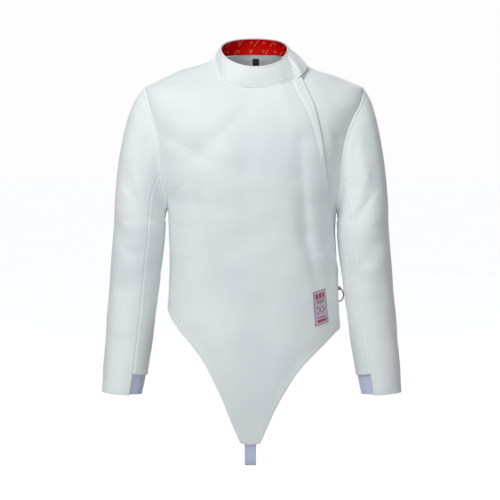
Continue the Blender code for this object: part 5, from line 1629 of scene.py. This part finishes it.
class JACKET_OT_zip(bpy.types.Operator):
    """Makes the end of the zip: tape, teeth, slider and pull ring"""

    bl_idname = "jacket.zip"
    bl_label = "Zip end"

    def execute(self, context):
        rows = np.linspace(ZIP_TAPE_TOP, ZIP_TAPE_BOTTOM, 70)
        half = math.radians(ZIP_TAPE_ANGLE) / 2
        height = rows[:, None] * np.ones((1, 13))
        angle = zip_angle(rows)[:, None] + np.linspace(-half, half, 13)[None]
        normals = body_normal(angle, height)
        places = body_point(angle, height) + normals * (SEAM_GAP + THIN_WALL)
        tape = finish_piece(wall("zip_tape_shell", places, places - normals * THIN_WALL), material_named("tape"),
                            ["zip_tape"])
        middle, out = places[:, 6] + normals[:, 6] * 0.35, normals[:, 6]
        across = unit(places[:, 7] - places[:, 5])
        rows_of_teeth = [middle + across * shift for shift in (-0.9, 0.9)]
        sewn("zip_teeth", rows_of_teeth, {"Pitch": 0.002, "Length": 0.0013, "Thickness": 0.0019},
             material_named("tape"))
        seat, out = slider_frame()
        across = np.array([-out[1], out[0], 0.0])
        width, depth, tall = SLIDER_SIZE
        body = rounded_box("slider_body", (width, depth, tall), seat + out * depth / 2, across, out, 1.1)
        slider = merged("zip_slider_metal", [body, lug("slider_lug", seat, out)])
        finish_piece(slider, material_named("nickel"), ["zip_slider"])
        hole = ring_hole()
        plane = np.array([math.cos(math.radians(RING_TURN)), -math.sin(math.radians(RING_TURN)), 0.0])
        up = np.array([0.0, 0.0, 1.0])
        ring = torus("pull_ring_metal", hole - up * RING_RADIUS, plane, up, RING_RADIUS, RING_WIRE)
        finish_piece(ring, material_named("nickel"), ["pull_ring"], body="ring")
        return {"FINISHED"}


class JACKET_OT_sewing(bpy.types.Operator):
    """Sews every line that the other pieces have marked"""

    bl_idname = "jacket.sewing"
    bl_label = "Sewing"

    def execute(self, context):
        settings = context.scene.jacket
        sewn("topstitching", STITCH_LINES, {
            "Pitch": settings.stitch_pitch, "Length": settings.stitch_length, "Thickness": settings.thread_width,
        }, material_named("thread"))
        return {"FINISHED"}


class JACKET_OT_stage(bpy.types.Operator):
    """Makes the floor, the studio light and the camera"""

    bl_idname = "jacket.stage"
    bl_label = "Stage"

    def execute(self, context):
        shaped = bmesh.new()
        bmesh.ops.create_circle(shaped, cap_ends=True, segments=96, radius=60.0)
        bmesh.ops.translate(shaped, vec=(0, 0, -1.45), verts=shaped.verts)
        mesh = bpy.data.meshes.new("studio_floor")
        shaped.to_mesh(mesh)
        shaped.free()
        floor = bpy.data.objects.new("studio_floor", mesh)
        context.scene.collection.objects.link(floor)
        mesh.materials.append(material_named("floor"))
        floor.visible_diffuse = False
        lit_floor = bpy.data.collections.new("lit_floor")
        lit_floor.objects.link(floor)
        data = bpy.data.lights.new("floor_light", "SUN")
        data.energy = 2.55
        data.angle = math.radians(60)
        light = bpy.data.objects.new("floor_light", data)
        light.light_linking.receiver_collection = lit_floor
        context.scene.collection.objects.link(light)
        for name, place, size, energy, colour in (
            ("key_light", (-1.2, -1.55, 1.85), 1.0, 40.0, "#ffffff"),
            ("front_light", (-0.2, -3.2, -0.1), 2.0, 38.0, "#fcfdff"),
            ("back_light", (1.2, 2.6, 1.4), 1.8, 34.0, "#ffffff"),
        ):
            data = bpy.data.lights.new(name, "AREA")
            data.size = size
            data.energy = energy
            data.color = linear(colour)[:3]
            light = bpy.data.objects.new(name, data)
            light.location = place
            aim = Vector((0, 0, -0.36)) - Vector(place)
            light.rotation_euler = aim.to_track_quat("-Z", "Y").to_euler()
            context.scene.collection.objects.link(light)
        world = bpy.data.worlds.new("studio")
        world.use_nodes = True
        context.scene.world = world
        tree = world.node_tree
        seen = tree.nodes["Background"]
        seen.inputs["Color"].default_value = linear("#fdfdfd")
        seen.inputs["Strength"].default_value = 1.0
        lit = node(tree, "ShaderNodeBackground", {"Color": linear("#f2f6fa"), "Strength": 0.27})
        path = node(tree, "ShaderNodeLightPath")
        both = node(tree, "ShaderNodeMixShader", {
            0: path.outputs["Is Camera Ray"], 1: lit.outputs[0], 2: seen.outputs[0]})
        tree.links.new(both.outputs[0], tree.nodes["World Output"].inputs[0])
        context.scene.view_settings.view_transform = "Standard"

        target = Vector((-0.0095, 0.0, -0.382))
        tilt = math.radians(4.0)
        data = bpy.data.cameras.new("camera")
        data.sensor_width = 36.0
        data.lens = 36.0 * (3.0 / 0.0021) / 500
        camera = bpy.data.objects.new("camera", data)
        camera.location = target + Vector((0, -math.cos(tilt), math.sin(tilt))) * 3.0
        camera.rotation_euler = (target - camera.location).to_track_quat("-Z", "Y").to_euler()
        context.scene.collection.objects.link(camera)
        context.scene.camera = camera
        return {"FINISHED"}


PIECES = (JACKET_OT_body, JACKET_OT_hems, JACKET_OT_collar, JACKET_OT_sleeves, JACKET_OT_strap, JACKET_OT_labels,
          JACKET_OT_zip, JACKET_OT_sewing, JACKET_OT_stage)


class JACKET_PT_panel(bpy.types.Panel):
    """Lists the jacket's pieces and their settings"""

    bl_idname = "JACKET_PT_panel"
    bl_label = "Fencing jacket"
    bl_space_type = "VIEW_3D"
    bl_region_type = "UI"
    bl_category = "Jacket"

    def draw(self, context):
        for name in JacketSettings.__annotations__:
            self.layout.prop(context.scene.jacket, name)
        for piece in PIECES:
            self.layout.operator(piece.bl_idname)


CLASSES = (JacketSettings,) + PIECES + (JACKET_PT_panel,)


def register():
    for each in CLASSES:
        bpy.utils.register_class(each)
    bpy.types.Scene.jacket = bpy.props.PointerProperty(type=JacketSettings)


def unregister():
    del bpy.types.Scene.jacket
    for each in reversed(CLASSES):
        bpy.utils.unregister_class(each)


def main():
    register()
    for piece in PIECES:
        group, name = piece.bl_idname.split(".")
        getattr(getattr(bpy.ops, group), name)()


if __name__ == "__main__":
    main()
